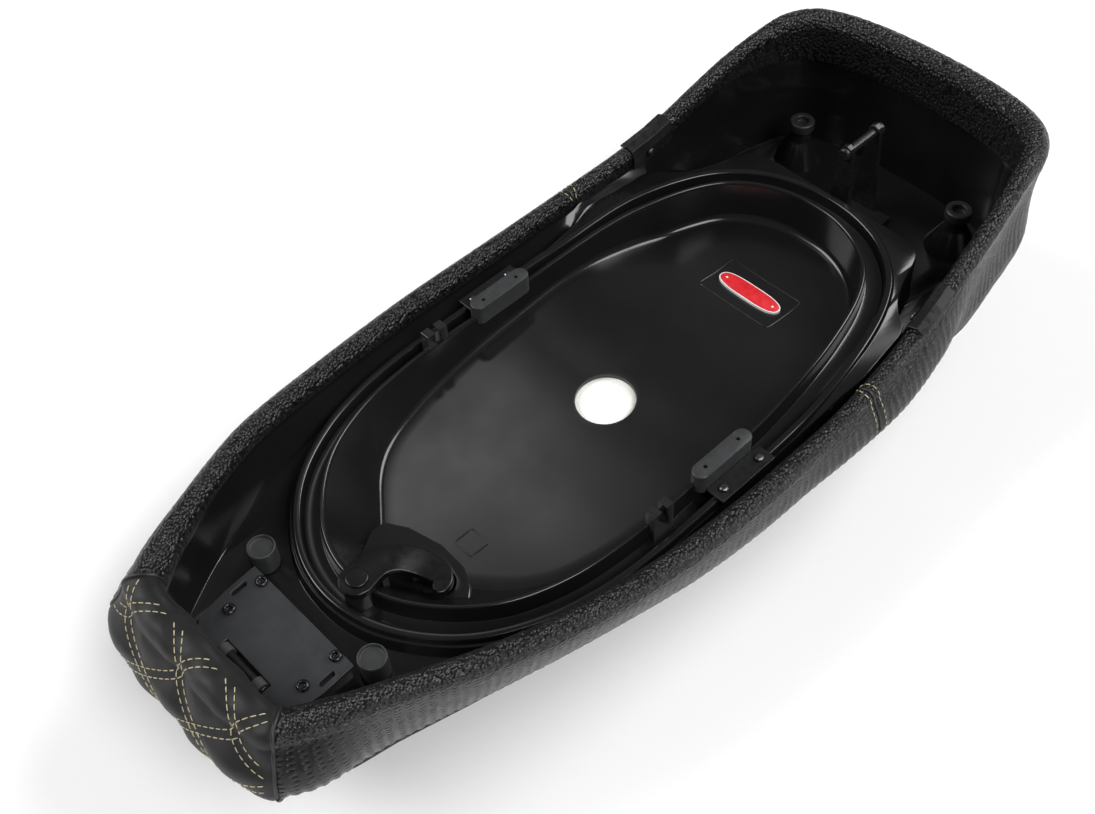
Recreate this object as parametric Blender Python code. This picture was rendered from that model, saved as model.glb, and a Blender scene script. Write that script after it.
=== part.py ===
"""Dual saddle of a small scooter, lying upside down with its moulded base upwards.

X is the width, Y runs from the nose (-Y) to the tail (+Y), Z is up as it lies.
Every length below is in millimetres until place() turns it into metres.
"""

import math

import bmesh
import bpy
from mathutils import Vector

# ---- driving dimensions, mm, in the base's own frame ----
Y_MID = 230.65  # this Y becomes the middle of the object
Z_FLOOR = -92.125  # the lowest level of the upholstery, which becomes Z = 0
COLUMNS = 56  # points round every closed outline, a multiple of 4
FINE = 2  # decimals of turned and round-ended outlines, so that holes keep a sloped face flat
GAP = 0.35  # clearance between pieces that touch
WALL = 3.0  # moulded base thickness
SKIN = 2.0  # upholstery thickness
HOLE_R = 19.5
CENTRE_Y = 228.0
SEAM_Y = 325.0
NOSE_SEAM_Y = -56.0
SHELF_Z = -34.0
GUTTER_Z = -18.0
PLATE_SLOPE = 0.12
PLATE_Z = -5.2  # top of the hinge plate at PLATE_Y
PLATE_Y = -10.0
PLATE_T = 2.5
BUMPER_X, BUMPER_R, BUMPER_H = 50.0, 8.6, 17.5
POST_X, POST_Y = 68.0, 500.0
CAP_R, CAP_H = 9.0, 7.5
HOOK_AT = (9.5, 23.5)
HOOK_T = 4.6
HOOK_Z = 0.8  # underside of the hook over the lip
PAD_X, PAD_Y, PAD_TOP = 95.5, 227.5, 8.0
PLATE_HOLES = ((33.5, -12.5), (33.5, -35.5))
ROD_Z = 36.0
STRIKER_Y, BOLT_X = 474.0, 16.5
CLIP_Y, CLIP_Z = 387.0, 13.5

# Half outlines on the +X side, from the nose to the tail.
LIP = ((0, 24), (24, 28.5), (46, 41), (66, 60), (80, 82), (90, 112), (94.5, 145), (95.5, 175),
       (94.6, 210), (94, 240), (93, 275), (89, 318), (83, 350), (74, 380), (61.5, 403),
       (43, 419), (21, 428), (0, 430))
RIDGE = ((0, 9), (29, 14), (56, 29), (79, 52), (96, 84), (105, 118), (108.6, 152), (109, 190),
         (108.4, 235), (107.5, 275), (104.5, 318), (99, 354), (89, 388), (74, 415), (51, 435),
         (26, 445), (0, 448))
SILL = ((0, 4.5), (31, 9.5), (59, 25.5), (83, 49), (100, 82), (109, 117), (112.8, 152),
        (113.2, 190), (112.6, 235), (112, 275), (113, 315), (114.5, 345), (113, 371),
        (106, 387), (96, 396), (87.5, 408), (81, 424), (76, 440), (69, 449.5), (54, 452.5),
        (27, 452.5), (0, 452.5))
RIM = ((0, -70), (30, -70), (48, -69.3), (59, -65), (67, -54), (76, -36), (85.5, -14),
       (95.5, 10), (104.5, 34), (112.5, 64), (119.5, 100), (125, 140), (128.5, 180),
       (129.7, 220), (129.7, 260), (128.9, 300), (126.2, 340), (122, 380), (117.5, 420),
       (113, 460), (108, 488), (102, 513), (90, 530), (70, 539), (38, 544.5), (0, 546))
SWELL = ((-72, 15.5), (-52, 11.5), (-30, 3), (0, 0), (250, 1), (300, 5.5), (345, 9.5), (395, 7.5),
         (432, 0), (460, -3), (500, -4), (546, 0))
LEAN = ((-40, 0), (0, -7), (40, -11), (110, -11), (180, -5), (240, -1), (300, 0), (546, 0))
FLOOR_Z = ((30, -30), (110, -31), (170, -28.5), (228, -24.5), (290, -20), (335, -24),
           (370, -28), (430, -23))
TUB_WALL = ((24, 33), (57, 31), (100, 20), (140, 15), (172, 12), (210, 8.5), (280, 7.5),
            (430, 7.5))
RIM_TOP = ((-90, 30), (-60, 31), (-20, 31), (10, 29.5), (40, 26.5), (70, 21.5), (100, 17),
           (140, 13), (180, 10.5), (220, 9), (260, 8.8), (300, 10), (340, 13.5), (370, 18),
           (400, 26), (430, 38), (460, 50), (490, 60), (520, 66), (560, 68))
BELLY = ((-100, -50), (-60, -64), (-20, -81), (30, -90.5), (90, -92), (160, -91), (220, -86),
         (265, -83.5), (310, -86), (360, -91), (410, -92), (460, -89), (500, -80), (560, -58))
HOOK_LINE = ((9.5, 23.5, 11.0), (9.0, 38.0, 9.4), (14.5, 49.5, 9.0), (23.5, 57.0, 8.6),
             (33.5, 60.5, 7.6), (40.5, 58.5, 6.0), (42.8, 53.0, 4.2))
SURROUND = ((-10, 36), (-21, 56), (-20, 65), (-7, 72.5), (16, 78), (36, 77), (50, 70.5),
            (59, 60), (50, 40), (22, 30), (2, 29))


# ---- small mathematics ----

def smooth(t):
    t = min(max(t, 0.0), 1.0)
    return t * t * (3 - 2 * t)


def mix(a, b, t):
    return a + (b - a) * t


def mix3(p, q, t):
    return tuple(mix(a, b, t) for a, b in zip(p, q))


def along(table, y):
    """Smooth value at y of a table of (y, value) pairs."""
    if y <= table[0][0]:
        return table[0][1]
    for k in range(len(table) - 1):
        (y0, v0), (y1, v1) = table[k], table[k + 1]
        if y <= y1:
            below = table[k - 1] if k else table[0]
            above = table[k + 2] if k + 2 < len(table) else table[-1]
            d0 = (v1 - below[1]) / (y1 - below[0])
            d1 = (above[1] - v0) / (above[0] - y0)
            t, h = (y - y0) / (y1 - y0), y1 - y0
            return (v0 * (1 + 2 * t) * (1 - t) ** 2 + d0 * h * t * (1 - t) ** 2
                    + v1 * t * t * (3 - 2 * t) + d1 * h * t * t * (t - 1))
    return table[-1][1]


def spline(points, steps=12):
    """Catmull-Rom points through a half outline that meets its mirror image on X = 0."""
    first, last = points[1], points[-2]
    padded = [(-first[0], first[1]), *points, (-last[0], last[1])]
    dense = []
    for a, b, c, d in zip(padded, padded[1:], padded[2:], padded[3:]):
        for k in range(steps):
            t = k / steps
            dense.append(tuple(
                0.5 * (2 * b[i] + (c[i] - a[i]) * t
                       + (2 * a[i] - 5 * b[i] + 4 * c[i] - d[i]) * t * t
                       + (3 * b[i] - a[i] - 3 * c[i] + d[i]) * t ** 3) for i in (0, 1)))
    return dense + [points[-1]]


class Outline:
    """A closed outline, symmetric about X = 0, with COLUMNS points and outward normals.

    Column 0 is at the nose and COLUMNS / 2 at the tail. The first half runs up the +X side.
    """

    def __init__(self, points):
        dense = spline(points)
        runs = [0.0]
        for a, b in zip(dense, dense[1:]):
            runs.append(runs[-1] + math.dist(a, b))
        half = COLUMNS // 2
        side = []
        for k in range(half + 1):
            want = runs[-1] * (k / half - 0.4 * math.sin(math.tau * k / half) / math.tau)
            j = min(max(1, sum(r < want for r in runs)), len(runs) - 1)
            t = (want - runs[j - 1]) / (runs[j] - runs[j - 1])
            side.append(tuple(mix(dense[j - 1][i], dense[j][i], t) for i in (0, 1)))
        side[0], side[-1] = (0.0, points[0][1]), (0.0, points[-1][1])
        self.points = side + [(-x, y) for x, y in side[-2:0:-1]]
        self.normals = []
        for k in range(COLUMNS):
            a, b = self.points[k - 1], self.points[(k + 1) % COLUMNS]
            length = math.dist(a, b)
            self.normals.append(((b[1] - a[1]) / length, -(b[0] - a[0]) / length))

    def off(self, k, distance):
        (x, y), (nx, ny) = self.points[k % COLUMNS], self.normals[k % COLUMNS]
        return x + nx * distance, y + ny * distance


lip, ridge, sill, rim = Outline(LIP), Outline(RIDGE), Outline(SILL), Outline(RIM)


# ---- levels ----

def floor_z(x, y):
    """Tub floor: deep at the nose end, a soft crest, then down again under the badge."""
    return along(FLOOR_Z, y) + 5.5 * (min(abs(x), 100) / 100) ** 2


def lip_z(y):
    return 7.0 * smooth((y - 240) / 110)


def groove_z(y):
    return lip_z(y) - 13.0


def ridge_z(y):
    return mix(-5.5, 1.8, smooth((y - 280) / 80))


def land_z(y):
    return mix(-9.5, -0.5, smooth((y - 270) / 80))


def gutter_z(y):
    """Bottom outside the land: a side gutter, nothing behind it, then the deep rear shelf."""
    side = mix(GUTTER_Z, -2.5, smooth((y - 300) / 32))
    return mix(side, SHELF_Z, smooth((y - 384) / 9))


def rim_roll(k):
    """Radius of the rolled edge: fat across the nose, slim along the sides."""
    y = rim.points[k % COLUMNS][1]
    sides = mix(10.5, 7.5, smooth((y + 62) / 50)) - 1.2 * smooth((y - 200) / 130)
    return sides + 3.5 * smooth((y - 480) / 60)


def fold_depth(k):
    """How far down inside the rim the upholstery is folded."""
    y = rim.points[k % COLUMNS][1]
    return mix(17.0, 12.0, smooth((y + 60) / 60)) + 25 * smooth((y - 430) / 110)


def rim_top(k):
    return along(RIM_TOP, rim.points[k % COLUMNS][1])


def spine_y(k):
    """Where a column ends on the middle line underneath, in step with its place on the rim."""
    turn = k % COLUMNS
    share = 2 * min(turn, COLUMNS - turn) / COLUMNS
    return mix(-30.0, 507.0, mix((rim.points[turn][1] + 70) / (546 + 70), share, 0.08))


# ---- the upholstered body ----

ROLL_ANGLES = (180, 135, 90, 45, 0)
SIDE_STEPS = (0.12, 0.28, 0.46, 0.64, 0.8, 0.91, 0.97, 1.0)
SIDE_ROW = 1 + len(ROLL_ANGLES) + 3  # the row at which side panels meet the top panels


def body_side(k, v):
    """Outer point of column k at share v of the way from the rim down to the spine."""
    y = rim.points[k % COLUMNS][1]
    roll, top = rim_roll(k), rim_top(k)
    belly = along(BELLY, spine_y(k))
    out = roll + along(SWELL, y) * math.sin(math.pi * min(v / 0.46, 1.0))
    out += along(LEAN, y) * smooth(v / 0.5)
    start = mix(0.18, 0.45, smooth((y - 380) / 80))
    u = max(0.0, (v - start) / (1 - start))
    shrink = (1 - u ** 2.3) ** (1 / 1.75) if u < 1 else 0.0
    x, y = rim.off(k, out)
    drop = (top - roll - belly) * v
    return (x * shrink, mix(spine_y(k), y, shrink), top - roll - drop)


def normal_at(k, v):
    a, b = body_side(k, max(v - 0.01, 0)), body_side(k, min(v + 0.01, 1))
    down = Vector(b) - Vector(a)
    if v > 0.99:
        return Vector((0, 0, -1))
    around = Vector(body_side(k + 1, v)) - Vector(body_side(k - 1, v))
    return around.cross(-down).normalized()


def body_rows(inset):
    """Rows of the body's surface, inset by that much: fold, roll, side and belly."""
    rows = []
    fold = []
    for k in range(COLUMNS):
        roll = rim_roll(k)
        fold.append((*rim.off(k, -roll + inset), rim_top(k) - fold_depth(k)))
    rows.append(fold)
    for degrees in ROLL_ANGLES:
        a, row = math.radians(degrees), []
        for k in range(COLUMNS):
            roll = rim_roll(k)
            reach = roll - inset
            row.append((*rim.off(k, reach * math.cos(a)),
                        rim_top(k) - roll + reach * math.sin(a)))
        rows.append(row)
    for v in SIDE_STEPS:
        row = []
        for k in range(COLUMNS):
            at = Vector(body_side(k, v)) - inset * normal_at(k, v)
            row.append(tuple(at) if v < 1 else (0.0, at.y, at.z))
        rows.append(row)
    return rows


# ---- the moulded base ----

def spot(outline, k, off, z):
    x, y = outline.off(k, off)
    return x, y, z(y) if callable(z) else z


def wall_width(k):
    return along(TUB_WALL, lip.points[k][1])


def floor_point(k, share, drop=0.0):
    """On the floor, from the hole's edge (share 0) to the foot of the tub's wall (share 1)."""
    lx, ly = lip.points[k]
    reach = math.hypot(lx, ly - CENTRE_Y)
    hole = (lx / reach * HOLE_R, CENTRE_Y + (ly - CENTRE_Y) / reach * HOLE_R)
    foot = lip.off(k, -wall_width(k))
    x, y = mix(hole[0], foot[0], share), mix(hole[1], foot[1], share)
    return x, y, floor_z(x, y) - drop


def base_column(k):
    """One column of the base's skin: up its visible side, over the rim, and back underneath."""
    roll, top, width = rim_roll(k), rim_top(k), wall_width(k)
    low = floor_point(k, 1)[2]
    face = -roll + SKIN + GAP
    foot_y = rim.off(k, -roll - 3.5)[1]
    shoulder = max(top - fold_depth(k) - 4.0, gutter_z(foot_y) + 2.0)
    crest = top - roll
    return [
        *(floor_point(k, s) for s in (0, 0.25, 0.5, 0.75, 0.93, 1)),
        spot(lip, k, -width + 2.2, low + 1.0),
        spot(lip, k, -width + 4.0, low + 3.8),
        spot(lip, k, -1.7, lambda y: lip_z(y) - 1.4),
        spot(lip, k, -0.9, lip_z),
        spot(lip, k, 0.9, lip_z),
        spot(lip, k, 1.6, lambda y: lip_z(y) - 1.2),
        spot(lip, k, 2.4, groove_z),
        spot(ridge, k, -3.6, groove_z),
        spot(ridge, k, -2.5, lambda y: ridge_z(y) - 0.8),
        spot(ridge, k, -1.6, ridge_z),
        spot(ridge, k, 1.6, ridge_z),
        spot(ridge, k, 2.5, lambda y: ridge_z(y) - 0.8),
        spot(ridge, k, 3.2, land_z),
        spot(sill, k, 0.0, land_z),
        spot(sill, k, 1.4, gutter_z),
        spot(rim, k, -roll - 3.5, gutter_z),
        spot(rim, k, face, shoulder),
        spot(rim, k, face, crest),
        spot(rim, k, face + 0.9, crest + 1.9),
        spot(rim, k, face + WALL, crest + 2.3),
        spot(rim, k, face + WALL, shoulder - 1.5),
        *base_under(k, 0.0),
    ]


def base_under(k, drop):
    """Underside of the base from the rim's foot to the hole.

    With a drop it is the foam's top, which bridges the step where the side gutter ends.
    """
    roll, width = rim_roll(k), wall_width(k)
    low = floor_point(k, 1)[2]
    under = WALL + drop

    def gutter_under(y):
        if not drop:
            return gutter_z(y) - WALL
        near = [line.points[k][1] + step for line in (rim, sill) for step in (-32, 0, 32)]
        return min(gutter_z(at) for at in near) - WALL - 2 * drop

    return [
        spot(rim, k, -roll - 0.3 + drop, gutter_under),
        spot(sill, k, -1.9 - drop, gutter_under),
        spot(sill, k, -2.6 - drop, lambda y: land_z(y) - WALL - 4 * drop),
        spot(ridge, k, 2 * drop, lambda y: groove_z(y) - WALL - 2 * drop),
        spot(lip, k, 0.4 + drop, lambda y: groove_z(y) - under),
        spot(lip, k, -width + 6.0 + drop, low - 0.8 - drop),
        spot(lip, k, -width + 1.0, low - under),
        *(floor_point(k, s, under) for s in (0.93, 0.75, 0.5, 0.25, 0)),
    ]


def foam_column(k):
    """Foam: up against the base from the middle out, over the rim, and round the outside."""
    roll, top = rim_roll(k), rim_top(k)
    face = -roll + SKIN + GAP + WALL + GAP
    foot_y = rim.off(k, -roll - 3.5)[1]
    shoulder = max(top - fold_depth(k) - 4.0, gutter_z(foot_y) + 2.0) - 1.5
    reach = roll - SKIN - GAP
    arc = []
    for degrees in ROLL_ANGLES[2:]:
        a = math.radians(degrees)
        arc.append((*rim.off(k, reach * math.cos(a)), top - roll + reach * math.sin(a)))
    inner = [spot(rim, k, face, shoulder), spot(rim, k, face, top - roll + 0.5)]
    return base_under(k, GAP)[::-1] + inner + arc


# ---- meshes ----

def place(point):
    """From millimetres in the base's frame to metres in the object's frame."""
    x, y, z = point
    return Vector((x, y - Y_MID, z - Z_FLOOR)) * 0.001


def new_object(name, mesh, material, smooth_shaded=True):
    obj = bpy.data.objects.new(name, mesh)
    bpy.context.scene.collection.objects.link(obj)
    mesh.materials.append(material)
    for face in mesh.polygons:
        face.use_smooth = smooth_shaded
    return obj


def mesh_of(name, points, faces):
    """A mesh with coincident points merged and its faces turned outward."""
    made = bmesh.new()
    verts = [made.verts.new(place(p)) for p in points]
    for face in faces:
        ring = [verts[i] for i in face]
        if len(set(ring)) == len(ring):
            made.faces.new(ring)
    bmesh.ops.remove_doubles(made, verts=made.verts, dist=2e-6)
    bmesh.ops.recalc_face_normals(made, faces=made.faces)
    mesh = bpy.data.meshes.new(name)
    made.to_mesh(mesh)
    made.free()
    return mesh


def split(a, b, c, d, flipped):
    """A quad's two triangles, so that layers one over another are cut along the same diagonal."""
    return ((a, b, d), (b, c, d)) if flipped else ((a, b, c), (a, c, d))


def ring_faces(rows, closed_rows=False, reversed_rows=0):
    """Faces between rows that close on themselves, and also from the last row to the first."""
    faces, count = [], len(rows[0])
    pairs = list(zip(range(len(rows) - 1), range(1, len(rows))))
    if closed_rows:
        pairs.append((len(rows) - 1, 0))
    for a, b in pairs:
        for k in range(count):
            n = (k + 1) % count
            flipped = (4 * k // count % 2 == 0) != (a < reversed_rows)
            faces += split(a * count + k, a * count + n, b * count + n, b * count + k, flipped)
    return faces


def shell(name, outer, inner, material, open_end=False, first=0):
    """A closed sheet between two grids of rows; open_end leaves out the wall at the last row."""
    rows, cols = len(outer), len(outer[0])
    points = [p for row in outer for p in row] + [p for row in inner for p in row]
    shift = rows * cols
    faces = []
    for r in range(rows - 1):
        for c in range(cols - 1):
            flipped = 4 * ((first + c) % COLUMNS) // COLUMNS % 2 == 0
            for face in split(r * cols + c, r * cols + c + 1, (r + 1) * cols + c + 1,
                              (r + 1) * cols + c, flipped):
                faces.append(face)
                faces.append(tuple(i + shift for i in reversed(face)))
        for c in (0, cols - 1):
            a, b = r * cols + c, (r + 1) * cols + c
            faces.append((a, b, b + shift, a + shift))
    for c in range(cols - 1):
        for r in (0,) if open_end else (0, rows - 1):
            a, b = r * cols + c, r * cols + c + 1
            faces.append((a, b, b + shift, a + shift))
    return new_object(name, mesh_of(name, points, faces), material)


def prism(name, outline, low, high, material=None, chamfer=0.0):
    """An upright prism; low and high are levels or functions of x and y."""
    def level(at, x, y):
        return at(x, y) if callable(at) else at
    middle = [sum(c) / len(outline) for c in zip(*outline)]
    rows = [[(x, y, level(low, x, y)) for x, y in outline],
            [(x, y, level(high, x, y) - chamfer) for x, y in outline]]
    if chamfer:
        inset = []
        for x, y in outline:
            reach = math.dist((x, y), middle)
            share = 1 - chamfer / reach
            inset.append((mix(middle[0], x, share), mix(middle[1], y, share)))
        rows.append([(x, y, level(high, x, y)) for x, y in inset])
    count = len(outline)
    points = [p for row in rows for p in row]
    faces = ring_faces(rows)
    faces.append(tuple(range(count)))
    faces.append(tuple(range(len(points) - count, len(points))))
    mesh = mesh_of(name, points, faces)
    return new_object(name, mesh, material or cutter_paint, False)


def box(name, x0, x1, y0, y1, low, high, material=None, chamfer=0.0):
    return prism(name, ((x0, y0), (x1, y0), (x1, y1), (x0, y1)), low, high, material, chamfer)


def turned(name, at, profile, material=None, axis="Z", steps=20):
    """A solid of revolution about an axis through at, from (radius, height) pairs."""
    rows, count = [], steps
    for radius, height in profile:
        row = []
        for k in range(count):
            a = 2 * math.pi * k / count
            u, v = radius * math.cos(a), radius * math.sin(a)
            local = {"Z": (u, v, height), "X": (height, u, v), "Y": (v, height, u)}[axis]
            row.append(tuple(round(c + d, FINE) for c, d in zip(at, local)))
        rows.append(row)
    points = [p for row in rows for p in row]
    faces = ring_faces(rows)
    for first in (0, len(points) - count):
        if profile[0 if first == 0 else -1][0] > 0:
            faces.append(tuple(range(first, first + count)))
    return new_object(name, mesh_of(name, points, faces), material or cutter_paint)


def round_ended(x, y, length, width, turn=0.0, steps=6):
    """Outline of a round-ended bar centred at x, y that runs along Y before it is turned."""
    radius, half = width / 2, (length - width) / 2
    outline = []
    for end in (0, 1):
        for k in range(steps + 1):
            a = math.pi * (end + k / steps)
            outline.append((radius * math.cos(a), (half if end == 0 else -half)
                            + radius * math.sin(a)))
    c, s = math.cos(turn), math.sin(turn)
    return [(round(x + c * u - s * v, FINE), round(y + s * u + c * v, FINE)) for u, v in outline]


def combine(target, others, operation):
    """Applies a Boolean with each other object, then removes it."""
    for other in others:
        step = target.modifiers.new(operation, "BOOLEAN")
        step.operation, step.solver, step.object = operation, "EXACT", other
        graph = bpy.context.evaluated_depsgraph_get()
        mesh = bpy.data.meshes.new_from_object(target.evaluated_get(graph))
        target.modifiers.clear()
        old, target.data = target.data, mesh
        bpy.data.meshes.remove(old)
        bpy.data.objects.remove(other, do_unlink=True)
    return target


def paint(name, colour, roughness, metallic=0.0):
    material = bpy.data.materials.new(name)
    material.use_nodes = True
    shader = material.node_tree.nodes["Principled BSDF"]
    shader.inputs["Base Color"].default_value = (*colour, 1)
    shader.inputs["Roughness"].default_value = roughness
    shader.inputs["Metallic"].default_value = metallic
    return material


for old in list(bpy.data.objects):
    bpy.data.objects.remove(old, do_unlink=True)

cutter_paint = paint("cutter", (0.5, 0.5, 0.5), 0.5)
base_plastic = paint("base_plastic", (0.012, 0.012, 0.014), 0.28)
soft_foam = paint("soft_foam", (0.86, 0.83, 0.72), 0.9)
quilted_vinyl = paint("quilted_vinyl", (0.014, 0.014, 0.015), 0.62)
grained_vinyl = paint("grained_vinyl", (0.02, 0.02, 0.021), 0.5)
plate_steel = paint("plate_steel", (0.035, 0.036, 0.04), 0.42, 0.6)
bright_steel = paint("bright_steel", (0.55, 0.55, 0.57), 0.3, 1.0)
black_rubber = paint("black_rubber", (0.02, 0.02, 0.02), 0.75)
badge_red = paint("badge_red", (0.62, 0.02, 0.03), 0.3)
hook_steel = paint("hook_steel", (0.03, 0.03, 0.033), 0.4, 0.3)


def columns_to_rows(columns):
    return [list(row) for row in zip(*columns)]


# ---- base ----

def plate_top(x, y):
    return PLATE_Z + PLATE_SLOPE * (y - PLATE_Y)


def build_base():
    rows = columns_to_rows([base_column(k) for k in range(COLUMNS)])
    points = [p for row in rows for p in row]
    base = new_object("seat_base", mesh_of("seat_base", points, ring_faces(rows, True)),
                      base_plastic)
    added, cut = [], []
    added.append(prism("deck", ((-43.5, -10.5), (-43.5, -52), (-38, -56), (38, -56),
                                (43.5, -52), (43.5, -10.5)), GUTTER_Z - 1.5,
                       lambda x, y: plate_top(x, y) - PLATE_T - GAP))
    added.append(turned("hook_column", (*HOOK_AT, 0), ((9.5, -14.5), (9, HOOK_Z - GAP)),
                        steps=18))
    added.append(prism("surround", SURROUND, -32.5, -12.0, chamfer=2.0))
    for side in (-1, 1):
        added.append(box("tab", side * 94.0, side * 101.0, 165, 181, -14.6, 10.5, chamfer=0.8))
        added.append(turned("post", (side * POST_X, POST_Y, 0),
                            ((19, SHELF_Z - 1.2), (17.5, SHELF_Z + 1.5), (10.5, -19), (8, -15),
                             (7, -CAP_H - GAP)), steps=20))
        cut.append(box("tab_slot", side * 92.0, side * 103.0, 171, 175, 2.0, 14.0))
        cut.append(box("pad_seat", side * 88.0, side * 101.9, 202.6, 252.4, -6.4, 14.0))
        for y in (215.5, 246.5):
            cut.append(turned("bracket_hole", (side * 108.6, y, 0), ((1.6, -14), (1.6, 2)),
                              steps=10))
        for x, y in PLATE_HOLES:
            cut.append(turned("plate_hole", (side * x, y, 0), ((2.2, -17), (2.2, 2)), steps=10))
        cut.append(turned("striker_hole", (side * BOLT_X, STRIKER_Y, 0),
                          ((3.5, SHELF_Z - 8), (3.5, SHELF_Z + 6)), steps=12))
        cut.append(turned("clip_hole", (side * 116.0, CLIP_Y, CLIP_Z), ((2.0, -7), (2.0, 7)),
                          None, "X", 10))
    added.append(box("badge_frame", -27, 33, 345, 380, lambda x, y: badge_level(y) - 2.6,
                     lambda x, y: badge_level(y), chamfer=0.5))
    combine(base, added, "UNION")
    cut.append(prism("pocket", [(28.5 + 19.5 * math.cos(a) * 0.62 - 13.5 * math.sin(a) * 0.78,
                                 52.5 + 19.5 * math.cos(a) * 0.78 + 13.5 * math.sin(a) * 0.62)
                                for a in (math.tau * k / 20 for k in range(20))], -26.0, 4.0))
    cut.append(turned("hook_hole", (*HOOK_AT, 0), ((2.9, -12.3), (2.9, 4)), steps=14))
    cut.append(box("hinge_gap", -20.5, 20.5, -62, -46.5, -16.4, 2.0))
    cut.append(box("shelf_window", -26, -14, 500, 513, SHELF_Z - 8, SHELF_Z + 6))
    combine(base, cut, "DIFFERENCE")
    hub = turned("hub", (32.5, 50.5, 0), ((4.8, -28), (4.4, -17)), steps=14)
    combine(base, [hub], "UNION")
    combine(base, [turned("hub_hole", (32.5, 50.5, 0), ((2.0, -24), (2.0, -12)), steps=10)],
            "DIFFERENCE")
    return base


# ---- cushion and cover ----

def build_foam():
    front = columns_to_rows([foam_column(k) for k in range(COLUMNS)])
    middle = (0.0, CENTRE_Y, floor_z(0, CENTRE_Y) - WALL - GAP)
    centre_row = [middle] * COLUMNS
    sides = body_rows(SKIN + GAP)[1 + len(ROLL_ANGLES):]
    rows = [centre_row, *front, *sides]
    points = [p for row in rows for p in row]
    faces = ring_faces(rows, reversed_rows=len(front) - len(ROLL_ANGLES) + 3)
    foam = new_object("foam_cushion", mesh_of("foam_cushion", points, faces), soft_foam)
    middle = [sum(c) / len(SURROUND) for c in zip(*SURROUND)]
    wide = [(mix(middle[0], x, 1.03), mix(middle[1], y, 1.03)) for x, y in SURROUND]
    combine(foam, [prism("surround_room", wide, -32.5 - GAP, -5.0)], "DIFFERENCE")


def seam_column(y_wanted):
    half = COLUMNS // 2
    return min(range(half + 1), key=lambda k: abs(rim.points[k][1] - y_wanted))


def panel(name, first, last, row_a, row_b, material, to_spine=False):
    """A cover panel from column first to last, between two rows, inset at its seams."""
    grids = []
    for inset in (0.0, SKIN):
        rows = body_rows(inset)
        taken = [list(row) for row in rows[row_a:row_b + 1]]
        if row_a:
            taken[0] = [mix3(p, q, 0.03) for p, q in zip(rows[row_a], rows[row_a + 1])]
        if not to_spine:
            taken[-1] = [mix3(p, q, 0.03) for p, q in zip(rows[row_b], rows[row_b - 1])]
        grid = []
        for row in taken:
            line = [row[k % COLUMNS] for k in range(first, last + 1)]
            line[0], line[-1] = mix3(line[0], line[1], 0.02), mix3(line[-1], line[-2], 0.02)
            grid.append(line)
        grids.append(grid)
    return shell(name, *grids, material, open_end=to_spine, first=first)


def build_cover():
    nose, seam = seam_column(NOSE_SEAM_Y), seam_column(SEAM_Y)
    last_row = len(ROLL_ANGLES) + len(SIDE_STEPS)
    panel("cover_nose_panel", -nose, nose, 0, SIDE_ROW, quilted_vinyl)
    panel("cover_side_right", nose, seam, 0, SIDE_ROW, grained_vinyl)
    panel("cover_side_left", COLUMNS - seam, COLUMNS - nose, 0, SIDE_ROW, grained_vinyl)
    tail = panel("cover_tail_panel", seam, COLUMNS - seam, 0, SIDE_ROW, grained_vinyl)
    holes = [turned("hole", (side * 116.0, CLIP_Y, CLIP_Z), ((2.0, -7), (2.0, 4)), None, "X", 10)
             for side in (-1, 1)]
    combine(tail, holes, "DIFFERENCE")
    panel("cover_rider_top", -seam, seam, SIDE_ROW, last_row, quilted_vinyl, True)
    panel("cover_pillion_top", seam, COLUMNS - seam, SIDE_ROW, last_row, quilted_vinyl, True)


def rim_point(rows, row, y):
    """Where a row of a body surface passes that Y on the +X side."""
    for k in range(COLUMNS // 2):
        a, b = rows[row][k], rows[row][k + 1]
        if a[1] <= y <= b[1]:
            return mix3(a, b, (y - a[1]) / (b[1] - a[1]))
    raise ValueError(f"no rim at {y}")


def build_clips():
    """A sheet steel clip over the rolled edge on each side, held by a screw from inside."""
    for side, word in ((-1, "left"), (1, "right")):
        grids = []
        for inset in (-1.9, -0.45):
            rows = body_rows(inset)
            grid = []
            for row in (1, 1, 2, 3, 4):
                line = [rim_point(rows, row, y) for y in (373, 380, 387, 394, 401, 407)]
                if not grid:
                    line = [(x, y, z - 9.0) for x, y, z in line]
                grid.append([(side * x, y, z) for x, y, z in line])
            grids.append(grid)
        clip = shell(f"rim_clip_{word}", *grids, plate_steel)
        inner = rim_point(body_rows(-1.9), 1, CLIP_Y)[0]
        hole = turned("hole", (side * inner, CLIP_Y, CLIP_Z), ((2.0, -5), (2.0, 5)), None, "X", 10)
        combine(clip, [hole], "DIFFERENCE")
        profile = [(0, -2.4), (1.6, -2.4), (2.9, -1.6), (3.1, -0.5), (1.6, -0.5), (1.6, 7.2),
                   (0, 7.2)]
        turned(f"clip_screw_{word}", (side * inner, CLIP_Y, CLIP_Z),
               [(r, side * h) for r, h in profile], bright_steel, "X", 14)


# ---- hinge end ----

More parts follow.
